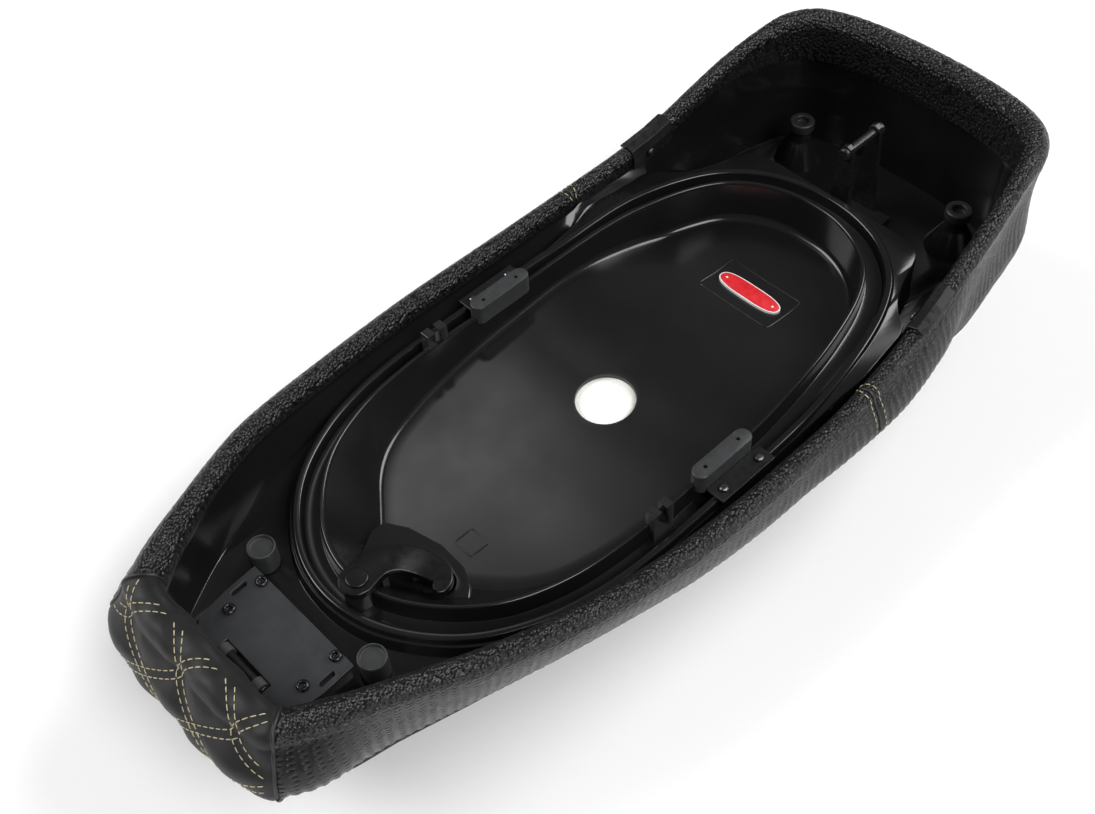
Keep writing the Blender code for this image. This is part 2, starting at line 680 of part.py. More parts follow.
def build_plate():
    outline = ((-45, -9), (-45, -30), (-42.5, -50), (-38, -55), (-20, -55), (-20, -47),
               (20, -47), (20, -55), (38, -55), (42.5, -50), (45, -30), (45, -9))
    plate = prism("hinge_plate", outline, lambda x, y: plate_top(x, y) - PLATE_T, plate_top,
                  plate_steel)
    cuts = []
    for side in (-1, 1):
        for x, y in PLATE_HOLES:
            cuts.append(turned("hole", (side * x, y, 0), ((2.2, -20), (2.2, 10)), steps=12))
        cuts.append(prism("slot", round_ended(side * 40.0, -24, 10.5, 3.0, steps=4), -20, 10))
    combine(plate, cuts, "DIFFERENCE")
    for side, word in ((-1, "left"), (1, "right")):
        for (x, y), end in zip(PLATE_HOLES, ("rear", "front")):
            z = plate_top(x, y)
            turned(f"plate_screw_{end}_{word}", (side * x, y, z),
                   ((0, -8.2), (1.7, -8.2), (1.7, 0.45), (3.7, 0.45), (3.7, 1.2), (2.9, 1.9), (1.4, 1.9),
                    (1.2, 1.0), (0, 1.0)), bright_steel, steps=14)
    pin_z = plate_top(0, -51.5) - 1.6
    turned("hinge_pin", (0, -51.4, pin_z), ((0, -19.6), (2.4, -19.6), (2.8, -19.2), (2.8, 19.2),
                                           (2.4, 19.6), (0, 19.6)), bright_steel, "X", 16)
    for side, word in ((-1, "left"), (1, "right")):
        bush = turned(f"hinge_bush_{word}", (side * 15.0, -51.4, pin_z),
                      ((4.2, -3.2), (4.2, 3.2)), black_rubber, "X", 18)
        bore = turned("bore", (side * 15.0, -51.4, pin_z), ((2.8 + GAP, -5), (2.8 + GAP, 5)),
                      None, "X", 16)
        combine(bush, [bore], "DIFFERENCE")


def build_bumpers():
    for side, word in ((-1, "left"), (1, "right")):
        low, high = GUTTER_Z + GAP, GUTTER_Z + BUMPER_H
        turned(f"front_bumper_{word}", (side * BUMPER_X, 0, 0),
               ((0, low), (BUMPER_R - 0.6, low), (BUMPER_R, low + 0.8), (BUMPER_R, high - 0.8),
                (BUMPER_R - 0.6, high), (BUMPER_R - 1.5, high), (BUMPER_R - 2.0, high - 1.1),
                (0, high - 1.1)), black_rubber, steps=24)
        turned(f"rear_bumper_{word}", (side * POST_X, POST_Y, 0),
               ((0, -CAP_H), (CAP_R - 0.8, -CAP_H), (CAP_R, -CAP_H + 0.8), (CAP_R, -0.9),
                (CAP_R - 0.9, 0), (5.2, 0), (4.6, -0.6), (4.6, -4.0), (0, -4.0)),
               black_rubber, steps=24)


def build_hook():
    """A crescent arm that swings about an upright pin in front of the tub."""
    heel = ((-10.6, 3.2), (-8.8, 6.8), (-5.4, 9.6))
    stations = [(HOOK_AT[0], HOOK_AT[1] + back, half) for back, half in heel]
    for a, b, c, d in zip((HOOK_LINE[0], *HOOK_LINE), HOOK_LINE, HOOK_LINE[1:],
                          (*HOOK_LINE[2:], HOOK_LINE[-1])):
        for t in (0.0, 0.5):
            stations.append(tuple(
                0.5 * (2 * b[i] + (c[i] - a[i]) * t + (2 * a[i] - 5 * b[i] + 4 * c[i] - d[i]) * t * t
                       + (3 * b[i] - a[i] - 3 * c[i] + d[i]) * t ** 3) for i in range(3)))
    stations += [HOOK_LINE[-1], (HOOK_LINE[-1][0] + 0.2, HOOK_LINE[-1][1] - 1.8, 2.2)]
    rows = []
    for i, (x, y, half) in enumerate(stations):
        ax, ay, _ = stations[max(i - 1, 0)]
        bx, by, _ = stations[min(i + 1, len(stations) - 1)]
        length = math.dist((ax, ay), (bx, by))
        nx, ny = -(by - ay) / length, (bx - ax) / length
        low = HOOK_Z - 6.0 * smooth((math.dist((x, y), HOOK_AT) - 20) / 26)
        section = ((half, 0), (half, HOOK_T - 0.9), (half - 0.9, HOOK_T), (0.9 - half, HOOK_T),
                   (-half, HOOK_T - 0.9), (-half, 0))
        rows.append([(x + nx * u, y + ny * u, low + z) for u, z in section])
    points = [p for row in rows for p in row]
    faces = ring_faces(rows) + [tuple(range(6)), tuple(range(len(points) - 6, len(points)))]
    hook = new_object("swing_hook", mesh_of("swing_hook", points, faces), hook_steel)
    combine(hook, [turned("bore", (*HOOK_AT, 0), ((2.9, -8), (2.9, 12)), steps=14)],
            "DIFFERENCE")
    turned("hook_pin", (*HOOK_AT, HOOK_Z + HOOK_T),
           ((0, -16), (2.55, -16), (2.55, GAP), (6.6, GAP), (6.6, 1.1), (6.0, 1.6), (0, 1.6)),
           hook_steel, steps=20)


def upright(name, outline, y0, y1, material=None):
    """A plate whose outline is given in X and Z, between two Y levels."""
    rows = [[(x, y, z) for x, z in outline] for y in (y0, y1)]
    count = len(outline)
    faces = [*ring_faces(rows), tuple(range(count)), tuple(range(count, 2 * count))]
    points = [p for row in rows for p in row]
    return new_object(name, mesh_of(name, points, faces), material or cutter_paint, False)


def build_striker():
    """Folded bracket on the rear shelf with two ears and the bar that the lock grips."""
    low = SHELF_Z + GAP
    bracket = box("striker_bracket", -23, 23, 457.4, 490.6, low, low + 3.0, plate_steel)
    ear = [(12, low + 1), (8.5, -24), (7.5, -6), (5.0, 30), (4.6, 36), (3.3, 39.2), (0, 40.6)]
    outline = [*ear, *[(-x, z) for x, z in ear[-2::-1]]]
    ears = [upright("ear", outline, y, y + 4) for y in (457, 487)]
    combine(bracket, ears, "UNION")
    cuts = [turned("bolt_hole", (side * BOLT_X, STRIKER_Y, 0), ((3.5, -40), (3.5, -20)), steps=12)
            for side in (-1, 1)]
    cuts.append(turned("rod_hole", (0, STRIKER_Y, ROD_Z - 1), ((3.2 + GAP, -30), (3.2 + GAP, 30)),
                       None, "Y", 16))
    combine(bracket, cuts, "DIFFERENCE")
    turned("striker_rod", (0, STRIKER_Y, ROD_Z - 1),
           ((0, -20.2), (3.6, -20.2), (4.6, -19.4), (4.6, -17.4), (3.2, -17.4), (3.2, 17.4),
            (4.6, 17.4), (4.6, 19.4), (3.6, 20.2), (0, 20.2)), bright_steel, "Y", 16)
    for side, word in ((-1, "left"), (1, "right")):
        turned(f"striker_bolt_{word}", (side * BOLT_X, STRIKER_Y, low + 3.0),
               ((0, -5.9), (3.0, -5.9), (3.0, GAP), (6.2, GAP), (6.2, 1.3), (4.6, 1.6),
                (4.6, 5.0), (4.0, 5.4), (0, 5.4)), bright_steel, steps=12)


# ---- sides ----

def build_sides():
    for side, word in ((-1, "left"), (1, "right")):
        outline = round_ended(side * (PAD_X + 0.25), PAD_Y, 47.5, 11.5, steps=6)
        pad = prism(f"side_pad_{word}", outline, -6.05, PAD_TOP, black_rubber, 0.8)
        holes = [turned("hole", (side * PAD_X, y, 0), ((1.2, 2), (1.2, 12)), steps=8)
                 for y in (213.3, 241.8)]
        combine(pad, holes, "DIFFERENCE")
        bracket = box(f"pad_bracket_{word}", side * 101.95, side * 115, 208, 254, -5.15, -3.15,
                      plate_steel, 0.4)
        holes = [turned("hole", (side * 108.6, y, 0), ((1.6, -9), (1.6, 2)), steps=10)
                 for y in (215.5, 246.5)]
        combine(bracket, holes, "DIFFERENCE")
        for y, end in ((215.5, "front"), (246.5, "rear")):
            turned(f"bracket_screw_{end}_{word}", (side * 108.6, y, -3.15),
                   ((0, -9.5), (1.2, -9.5), (1.2, GAP), (2.9, GAP), (2.8, 1.3), (1.8, 2.0),
                    (0, 2.1)), bright_steel, steps=12)


def badge_level(y):
    return mix(floor_z(0, 345), floor_z(0, 380), (y - 345) / 35) + 0.8


def build_badge():
    outline = round_ended(3.0, 362.5, 50, 11, math.pi / 2, 6)
    prism("badge", outline, lambda x, y: badge_level(y) + GAP,
          lambda x, y: badge_level(y) + GAP + 1.0, badge_red)


build_base()
build_foam()
build_cover()
build_clips()
build_plate()
build_bumpers()
build_hook()
build_striker()
build_sides()
build_badge()
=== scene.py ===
"""Looks of a dual scooter saddle that lies upside down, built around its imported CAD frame.

X is the width, Y runs from the nose (-Y) to the tail (+Y), Z is up as it lies. Lengths are in
millimetres in the moulded base's own frame until place() turns them into metres.
"""

import math

import bmesh
import bpy
import numpy as np
from mathutils import Matrix, Vector


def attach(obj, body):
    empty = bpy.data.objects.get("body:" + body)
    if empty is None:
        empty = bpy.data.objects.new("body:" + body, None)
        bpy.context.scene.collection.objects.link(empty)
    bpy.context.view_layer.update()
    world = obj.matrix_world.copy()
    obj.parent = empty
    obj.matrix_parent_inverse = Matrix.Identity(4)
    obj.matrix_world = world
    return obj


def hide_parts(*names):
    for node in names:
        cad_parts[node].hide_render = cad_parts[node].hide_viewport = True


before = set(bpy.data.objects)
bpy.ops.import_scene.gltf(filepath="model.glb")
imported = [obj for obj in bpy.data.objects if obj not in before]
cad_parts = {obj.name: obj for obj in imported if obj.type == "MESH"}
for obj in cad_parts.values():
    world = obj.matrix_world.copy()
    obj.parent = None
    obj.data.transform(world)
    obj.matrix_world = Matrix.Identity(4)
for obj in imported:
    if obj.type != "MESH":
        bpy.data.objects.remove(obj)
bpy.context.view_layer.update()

# ---- driving dimensions, mm, as in the CAD ----
Y_MID, Z_FLOOR = 230.65, -92.125
CAD_COLUMNS = 56
GAP, WALL, SKIN = 0.35, 3.0, 2.0
HOLE_R, CENTRE_Y = 19.5, 228.0
SEAM_Y = 325.0
SHELF_Z, GUTTER_Z = -34.0, -18.0
PLATE_SLOPE, PLATE_Z, PLATE_Y, PLATE_T = 0.12, -5.2, -10.0, 2.5
BUMPER_X, BUMPER_R, BUMPER_H = 50.0, 8.6, 17.5
POST_X, POST_Y, CAP_R, CAP_H = 68.0, 500.0, 9.0, 7.5
HOOK_AT, HOOK_T, HOOK_Z = (9.5, 23.5), 4.6, 0.8
PAD_X, PAD_Y, PAD_TOP = 95.5, 227.5, 8.0
PLATE_HOLES = ((33.5, -12.5), (33.5, -35.5))

LIP = ((0, 24), (24, 28.5), (46, 41), (66, 60), (80, 82), (90, 112), (94.5, 145), (95.5, 175),
       (94.6, 210), (94, 240), (93, 275), (89, 318), (83, 350), (74, 380), (61.5, 403),
       (43, 419), (21, 428), (0, 430))
RIDGE = ((0, 9), (29, 14), (56, 29), (79, 52), (96, 84), (105, 118), (108.6, 152), (109, 190),
         (108.4, 235), (107.5, 275), (104.5, 318), (99, 354), (89, 388), (74, 415), (51, 435),
         (26, 445), (0, 448))
SILL = ((0, 4.5), (31, 9.5), (59, 25.5), (83, 49), (100, 82), (109, 117), (112.8, 152),
        (113.2, 190), (112.6, 235), (112, 275), (113, 315), (114.5, 345), (113, 371),
        (106, 387), (96, 396), (87.5, 408), (81, 424), (76, 440), (69, 449.5), (54, 452.5),
        (27, 452.5), (0, 452.5))
RIM = ((0, -70), (30, -70), (48, -69.3), (59, -65), (67, -54), (76, -36), (85.5, -14),
       (95.5, 10), (104.5, 34), (112.5, 64), (119.5, 100), (125, 140), (128.5, 180),
       (129.7, 220), (129.7, 260), (128.9, 300), (126.2, 340), (122, 380), (117.5, 420),
       (113, 460), (108, 488), (102, 513), (90, 530), (70, 539), (38, 544.5), (0, 546))
SWELL = ((-72, 15.5), (-52, 11.5), (-30, 3), (0, 0), (250, 1), (300, 5.5), (345, 9.5),
         (395, 7.5), (432, 0), (460, -3), (500, -4), (546, 0))
LEAN = ((-40, 0), (0, -7), (40, -11), (110, -11), (180, -5), (240, -1), (300, 0), (546, 0))
FLOOR_LEVEL = ((30, -30), (110, -31), (170, -28.5), (228, -24.5), (290, -20), (335, -24),
               (370, -28), (430, -23))
TUB_WALL = ((24, 33), (57, 31), (100, 20), (140, 15), (172, 12), (210, 8.5), (280, 7.5),
            (430, 7.5))
RIM_TOP = ((-90, 30), (-60, 31), (-20, 31), (10, 29.5), (40, 26.5), (70, 21.5), (100, 17),
           (140, 13), (180, 10.5), (220, 9), (260, 8.8), (300, 10), (340, 13.5), (370, 18),
           (400, 26), (430, 38), (460, 50), (490, 60), (520, 66), (560, 68))
BELLY = ((-100, -50), (-60, -64), (-20, -81), (30, -90.5), (90, -92), (160, -91), (220, -86),
         (265, -83.5), (310, -86), (360, -91), (410, -92), (460, -89), (500, -80), (560, -58))
HOOK_LINE = ((9.5, 23.5, 11.0), (9.0, 38.0, 9.4), (14.5, 49.5, 9.0), (23.5, 57.0, 8.6),
             (33.5, 60.5, 7.6), (40.5, 58.5, 6.0), (42.8, 53.0, 4.2))
SURROUND = ((-10, 36), (-21, 56), (-20, 65), (-7, 72.5), (16, 78), (36, 77), (50, 70.5),
            (59, 60), (50, 40), (22, 30), (2, 29))

SIDES = ((-1, "left"), (1, "right"))
SWELL_MOST, CLOTH_FRAMES = 5.0, 20  # how far padding may move the skin, and in how many frames
STITCH_PITCH, STITCH_LENGTH, STITCH_R = 4.6, 3.4, 0.34
DOUBLE_ROW, SEAM_ROWS = 4.4, 8.4  # distances between two rows of stitches

# ---- resolution of the looks ----
SKIN_COLUMNS = 6 * CAD_COLUMNS
BASE_COLUMNS = 4 * CAD_COLUMNS
FOLD_ROWS, ROLL_ROWS, SIDE_ROWS, TOP_ROWS = 5, 14, 34, 24
FLOOR_SHARES = (0, 0.03, 0.08, 0.16, 0.25, 0.35, 0.45, 0.55, 0.65, 0.75, 0.84, 0.92, 1)
SEAM_V = 0.64  # share of the side at which the side panels meet the top panels
SEAM_ROW = FOLD_ROWS + ROLL_ROWS + SIDE_ROWS
CELL_MM = 1.45  # mesh size of the embossed panels


# ---- small mathematics ----

def smooth(t):
    t = np.clip(t, 0.0, 1.0)
    return t * t * (3 - 2 * t)


def mix(a, b, t):
    return a + (b - a) * t


def along(table, at):
    """Smooth values of a table of (place, value) pairs."""
    xs, vs = np.array(table, float).T
    slope = np.empty_like(vs)
    slope[1:-1] = (vs[2:] - vs[:-2]) / (xs[2:] - xs[:-2])
    slope[0], slope[-1] = (vs[1] - vs[0]) / (xs[1] - xs[0]), (vs[-1] - vs[-2]) / (xs[-1] - xs[-2])
    at = np.clip(at, xs[0], xs[-1])
    i = np.clip(np.searchsorted(xs, at, side="right") - 1, 0, len(xs) - 2)
    h = xs[i + 1] - xs[i]
    t = (at - xs[i]) / h
    return (vs[i] * (1 + 2 * t) * (1 - t) ** 2 + slope[i] * h * t * (1 - t) ** 2
            + vs[i + 1] * t * t * (3 - 2 * t) + slope[i + 1] * h * t * t * (t - 1))


def catmull(a, b, c, d, t):
    return 0.5 * (2 * b + (c - a) * t + (2 * a - 5 * b + 4 * c - d) * t * t
                  + (3 * b - a - 3 * c + d) * t ** 3)


def unit(vectors):
    return vectors / np.maximum(np.linalg.norm(vectors, axis=-1, keepdims=True), 1e-9)


def travelled(line):
    """Distance along a line of points at each of them."""
    return np.concatenate(([0.0], np.cumsum(np.linalg.norm(np.diff(line, axis=0), axis=1))))


def circle(steps):
    """Cosines and sines of equal steps round a circle."""
    a = np.arange(steps) * math.tau / steps
    return np.cos(a), np.sin(a)


class Outline:
    """A closed outline, symmetric about X = 0. Turn 0 is at the nose and 0.5 at the tail."""

    def __init__(self, points):
        given = np.array(points, float)
        flip = np.array((-1.0, 1.0))
        padded = np.vstack((given[1] * flip, given, given[-2] * flip))
        t = np.linspace(0, 1, 40, endpoint=False)[:, None]
        spans = [catmull(*padded[i:i + 4], t) for i in range(len(padded) - 3)]
        self.dense = np.vstack((*spans, given[-1:]))
        self.runs = travelled(self.dense)

    def at(self, turn):
        turn = np.asarray(turn, float) % 1.0
        share = np.where(turn <= 0.5, 2 * turn, 2 - 2 * turn)
        want = self.runs[-1] * (share - 0.4 * np.sin(math.tau * share) / math.tau)
        x = np.interp(want, self.runs, self.dense[:, 0])
        return np.where(turn <= 0.5, x, -x), np.interp(want, self.runs, self.dense[:, 1])

    def off(self, turn, distance):
        x, y = self.at(turn)
        (ax, ay), (bx, by) = self.at(turn - 1 / CAD_COLUMNS), self.at(turn + 1 / CAD_COLUMNS)
        length = np.hypot(bx - ax, by - ay)
        return x + (by - ay) / length * distance, y - (bx - ax) / length * distance


lip, ridge, sill, rim = Outline(LIP), Outline(RIDGE), Outline(SILL), Outline(RIM)


# ---- levels of the moulded base and of the rim ----

def floor_z(x, y):
    return along(FLOOR_LEVEL, y) + 5.5 * (np.minimum(np.abs(x), 100) / 100) ** 2


def lip_z(y):
    return 7.0 * smooth((y - 240) / 110)


def groove_z(y):
    return lip_z(y) - 13.0


def ridge_z(y):
    return mix(-5.5, 1.8, smooth((y - 280) / 80))


def land_z(y):
    return mix(-9.5, -0.5, smooth((y - 270) / 80))


def gutter_z(y):
    side = mix(GUTTER_Z, -2.5, smooth((y - 300) / 32))
    return mix(side, SHELF_Z, smooth((y - 384) / 9))


def rim_roll(turn):
    y = rim.at(turn)[1]
    sides = mix(10.5, 7.5, smooth((y + 62) / 50)) - 1.2 * smooth((y - 200) / 130)
    return sides + 3.5 * smooth((y - 480) / 60)


def fold_depth(turn):
    y = rim.at(turn)[1]
    return mix(17.0, 12.0, smooth((y + 60) / 60)) + 25 * smooth((y - 430) / 110)


def rim_top(turn):
    return along(RIM_TOP, rim.at(turn)[1])


def spine_y(turn):
    share = 2 * np.minimum(turn % 1.0, 1 - turn % 1.0)
    return mix(-30.0, 507.0, mix((rim.at(turn)[1] + 70) / (546 + 70), share, 0.08))


# ---- surface of the upholstered body ----

def joined(xy, z):
    x, y = xy
    return np.stack(np.broadcast_arrays(x, y, z), axis=-1).astype(float)


def side_start(turn):
    return mix(0.18, 0.45, smooth((rim.at(turn)[1] - 380) / 80))


def body_side(turn, v, shrink=None):
    """Points at share v of the way from the rim down to the spine underneath."""
    y = rim.at(turn)[1]
    roll, top, start = rim_roll(turn), rim_top(turn), side_start(turn)
    out = roll + along(SWELL, y) * np.sin(math.pi * np.minimum(v / 0.46, 1.0))
    out = out + along(LEAN, y) * smooth(v / 0.5)
    if shrink is None:
        shrink = (1 - np.clip((v - start) / (1 - start), 0, 1) ** 2.3) ** (1 / 1.75)
    x, y = rim.off(turn, out)
    z = top - roll - (top - roll - along(BELLY, spine_y(turn))) * v
    return joined((x * shrink, mix(spine_y(turn), y, shrink)), z)


def skin_rows(turn):
    """The body's whole surface: fold, roll, side and top, one array of points per row."""
    roll, top = rim_roll(turn), rim_top(turn)
    rows = []
    for i in range(FOLD_ROWS):
        depth = mix(fold_depth(turn), roll, i / FOLD_ROWS)
        rows.append(joined(rim.off(turn, -roll), top - depth))
    for i in range(ROLL_ROWS):
        a = math.pi * (1 - i / ROLL_ROWS)
        rows.append(joined(rim.off(turn, roll * math.cos(a)), top - roll + roll * math.sin(a)))
    for i in range(SIDE_ROWS + 1):
        rows.append(body_side(turn, SEAM_V * i / SIDE_ROWS))
    start = side_start(turn)
    first = (1 - np.clip((SEAM_V - start) / (1 - start), 0, 1) ** 2.3) ** (1 / 1.75)
    for i in range(1, TOP_ROWS + 1):
        shrink = first * (1 - i / TOP_ROWS)
        v = start + (1 - start) * (1 - shrink ** 1.75) ** (1 / 2.3)
        rows.append(body_side(turn, v, shrink))
    return np.array(rows)


def grid_normals(grid):
    """Outward unit normals of a grid whose rows run round the body in +turn."""
    return unit(np.cross(np.gradient(grid, axis=0), np.gradient(grid, axis=1)))


def measures(grid, start_row):
    """Distance in mm of each point down its column from start_row."""
    steps = np.linalg.norm(np.diff(grid, axis=0), axis=2)
    down = np.vstack((np.zeros(grid.shape[1]), np.cumsum(steps, axis=0)))
    return down - down[start_row]


def resample(grid, rows, columns):
    """Smooth values of a grid at fractional rows and columns."""
    for axis, wanted in ((0, rows), (1, columns)):
        last = grid.shape[axis] - 1
        base = np.clip(np.floor(wanted).astype(int), 0, last - 1)
        t = np.expand_dims(wanted - base, [i for i in range(grid.ndim) if i != axis])
        grid = catmull(*(np.take(grid, np.clip(base + k, 0, last), axis=axis)
                         for k in (-1, 0, 1, 2)), t)
    return grid


# ---- quilting and embossing ----

QUILT_PITCH, QUILT_START, QUILT_STEP = 46.0, 18.0, 17.5
QUILT_SHIFT = -3.0
SCALE_WIDE, SCALE_TALL = 6.2, 3.2  # pitch of the embossed scales round the seat and down it


def quilt_offset(t):
    """How far a quilting line has moved round the seat at a distance t down from the rim's top."""
    q = (t - QUILT_START) / QUILT_STEP
    half_turns = np.where(t < QUILT_START, 0, np.round(q / 2))
    f = np.where(t < QUILT_START, (t - QUILT_START) / 24.0, q - 2 * half_turns)
    bend = np.where(t < QUILT_START, 1.9, 1.3)
    return QUILT_PITCH * (half_turns + 0.5 * np.sign(f) * np.abs(f) ** bend)


def quilt_distance(s, t):
    """Distance from the nearest quilting line, rounded off halfway between two lines."""
    step = 0.5
    slope = (quilt_offset(t + step) - quilt_offset(t - step)) / (2 * step)
    total = np.zeros(np.broadcast(s, t).shape)
    for way in (-1, 1):
        apart = (s - QUILT_SHIFT - way * quilt_offset(t)) / QUILT_PITCH
        apart = np.abs(apart - np.round(apart)) * QUILT_PITCH / np.sqrt(1 + slope ** 2)
        total += (apart + 0.05) ** -3.0
    return total ** (-1 / 3)


def columns(s, t):
    """Shallow ribs that run down the sides, a little irregular."""
    return np.cos(math.tau * (s + 0.8 * wander(s * 0.5, t * 0.5, 7.0)) / SCALE_WIDE)


def wander(s, t, seed):
    """Soft irregular waves between -1 and 1."""
    total = 0.0
    for k, (a, b) in enumerate(((0.071, 0.043), (0.113, -0.087), (0.191, 0.127), (0.047, 0.211))):
        total = total + np.sin(s * a * 6.283 + t * b * 6.283 + seed * (k + 1.7)) / (1 + 0.5 * k)
    return total / 2.4


# ---- meshes ----

def place(points):
    shifted = np.asarray(points, float) - (0.0, Y_MID, Z_FLOOR)
    return shifted * 0.001


def linked(name, data, material=None):
    """A new object in the scene, its mesh in one finish if one is given."""
    obj = bpy.data.objects.new(name, data)
    bpy.context.scene.collection.objects.link(obj)
    if material:
        data.materials.clear()
        data.materials.append(material)
    return obj


def shaded(mesh, angle):
    mesh.shade_smooth()
    mesh.set_sharp_from_angle(angle=math.radians(angle))


def new_object(name, mesh, material, angle):
    shaded(mesh, angle)
    return linked(name, mesh, material)


def applied(obj):
    """The object's mesh becomes what its modifiers make of it."""
    graph = bpy.context.evaluated_depsgraph_get()
    obj.data = bpy.data.meshes.new_from_object(obj.evaluated_get(graph))
    obj.modifiers.clear()
    return obj


def mesh_of(name, points, faces, merge=0.004, flat=None):
    """A mesh with coincident points merged, its faces outward and flat coordinates if given."""
    mesh = bpy.data.meshes.new(name)
    mesh.from_pydata(place(points).tolist(), [], [tuple(map(int, f)) for f in faces])
    if flat is not None:
        corners = np.empty(len(mesh.loops), int)
        mesh.loops.foreach_get("vertex_index", corners)
        layer = mesh.uv_layers.new(name="along")
        layer.data.foreach_set("uv", (flat[corners] * 0.1).ravel())
    made = bmesh.new()
    made.from_mesh(mesh)
    bmesh.ops.remove_doubles(made, verts=made.verts, dist=merge * 0.001)
    bmesh.ops.dissolve_degenerate(made, edges=made.edges, dist=1e-6)
    bmesh.ops.recalc_face_normals(made, faces=made.faces)
    made.to_mesh(mesh)
    made.free()
    return mesh


def sheet_faces(rows, columns, shift=0, flip=False, closed=False):
    """Quads of a grid of points numbered row by row."""
    r, c = np.indices((rows - 1, columns if closed else columns - 1))
    n = (c + 1) % columns
    quads = np.stack((r * columns + c, r * columns + n, (r + 1) * columns + n,
                      (r + 1) * columns + c), axis=-1).reshape(-1, 4) + shift
    return quads[:, ::-1] if flip else quads


def shell(name, outer, inner, material, s, t, open_end=False):
    """A closed sheet between two grids; open_end leaves out the wall along the last row."""
    rows, columns = outer.shape[:2]
    shift = rows * columns
    faces = [sheet_faces(rows, columns), sheet_faces(rows, columns, shift, True)]
    numbers = np.arange(shift).reshape(rows, columns)
    for a in (numbers[:, 0], numbers[:, -1], numbers[0], numbers[-1])[:3 if open_end else 4]:
        faces.append(np.stack((a[:-1], a[1:], a[1:] + shift, a[:-1] + shift), axis=-1))
    points = np.vstack((outer.reshape(-1, 3), inner.reshape(-1, 3)))
    flat = np.stack(np.broadcast_arrays(s, t), axis=-1).reshape(-1, 2)
    mesh = mesh_of(name, points, np.vstack(faces), flat=np.vstack((flat, flat)))
    return new_object(name, mesh, material, 50)


def loft(name, rows, material, closed_rows=False, caps=(True, True), angle=35):
    """A tube of rings; its ends are capped unless the rows close on themselves."""
    grid = np.array(rows, float)
    count, size = grid.shape[:2]
    faces = [tuple(f) for f in sheet_faces(count, size, closed=True)]
    if closed_rows:
        last = (count - 1) * size
        faces += [(last + k, last + (k + 1) % size, (k + 1) % size, k) for k in range(size)]
    else:
        faces += [tuple(range(size))] if caps[0] else []
        faces += [tuple(range((count - 1) * size, count * size))] if caps[1] else []
    mesh = mesh_of(name, grid.reshape(-1, 3), faces)
    return new_object(name, mesh, material, angle)


def rounded(profile, radius, steps=3):
    """A profile of (r, h) pairs whose corners are replaced by small curves."""
    points = [np.array(p, float) for p in profile]
    made = [points[0]]
    for a, b, c in zip(points, points[1:], points[2:]):
        one, two = np.linalg.norm(a - b), np.linalg.norm(c - b)
        if min(one, two) < 1e-6:
            continue
        reach = min(radius, 0.45 * one, 0.45 * two)
        p, q = b + (a - b) * reach / one, b + (c - b) * reach / two
        for k in range(steps + 1):
            t = k / steps
            made.append(p * (1 - t) ** 2 + 2 * b * t * (1 - t) + q * t * t)
    return [tuple(p) for p in (*made, points[-1])]


def turned(name, at, profile, material, axis="Z", steps=48, radius=0.3):
    """A solid of revolution about an axis through at, with softened corners."""
    c, d = circle(steps)
    rows = []
    for r, h in rounded(profile, radius) if radius else profile:
        u, v, w = r * c, r * d, np.full(steps, float(h))
        local = (u, v, w) if axis == "Z" else (w, u, v)
        rows.append(np.stack(local, axis=-1) + np.array(at, float))
    return loft(name, rows, material, caps=(profile[0][0] > 0, profile[-1][0] > 0))


def prism(name, outline, low, high, material, edge=0.0):
    """An upright prism between two levels, or functions of x and y, with a rounded top edge."""
    flat = np.array(outline, float)
    middle = flat.mean(axis=0)
    reach = np.linalg.norm(flat - middle, axis=1, keepdims=True)

    def ring(at, inward=0.0, drop=0.0):
        x, y = (middle + (flat - middle) * (1 - inward / reach)).T
        return joined((x, y), (at(x, y) if callable(at) else at) - drop)

    bends = (0, 0.5, 1.0, math.pi / 2) if edge else (0,)
    rows = [ring(low)]
    for a in bends:
        rows.append(ring(high, edge * (1 - math.cos(a)), edge * (1 - math.sin(a))))
    return loft(name, rows, material, angle=30)


def box(name, x0, x1, y0, y1, low, high, material, edge=0.0):
    return prism(name, ((x0, y0), (x1, y0), (x1, y1), (x0, y1)), low, high, material, edge)


def corner_arcs(corners, steps):
    """Quarter circles round four (x, y, radius), one quadrant after another."""
    points = []
    for quadrant, (x, y, radius) in enumerate(corners):
        for k in range(steps + 1):
            a = math.pi / 2 * (quadrant + k / steps)
            points.append((x + radius * math.cos(a), y + radius * math.sin(a)))
    return points


def round_ended(x, y, length, width, steps=12):
    """Outline of a round-ended bar centred at x, y that runs along Y."""
    radius, half = width / 2, (length - width) / 2
    a = np.linspace(0, math.pi, steps + 1)
    u, v = radius * np.cos(a), half + radius * np.sin(a)
    return np.column_stack((np.append(x + u, x - u), np.append(y + v, y - v)))


def tube(name, line, radius, material, sides=10, closed=False):
    """A cord of that radius along a line of points."""
    line = np.array(line, float)
    ends = np.roll(line, -1, axis=0) - np.roll(line, 1, axis=0)
    tangent = unit(ends if closed else np.gradient(line, axis=0))
    across = unit(np.cross(tangent, (0.0, 0.0, 1.0)))
    over = np.cross(across, tangent)
    c, d = (part[:, None] for part in circle(sides))
    rings = line[:, None] + radius * (c * across[:, None] + d * over[:, None])
    return loft(name, rings, material, closed_rows=closed, angle=60)


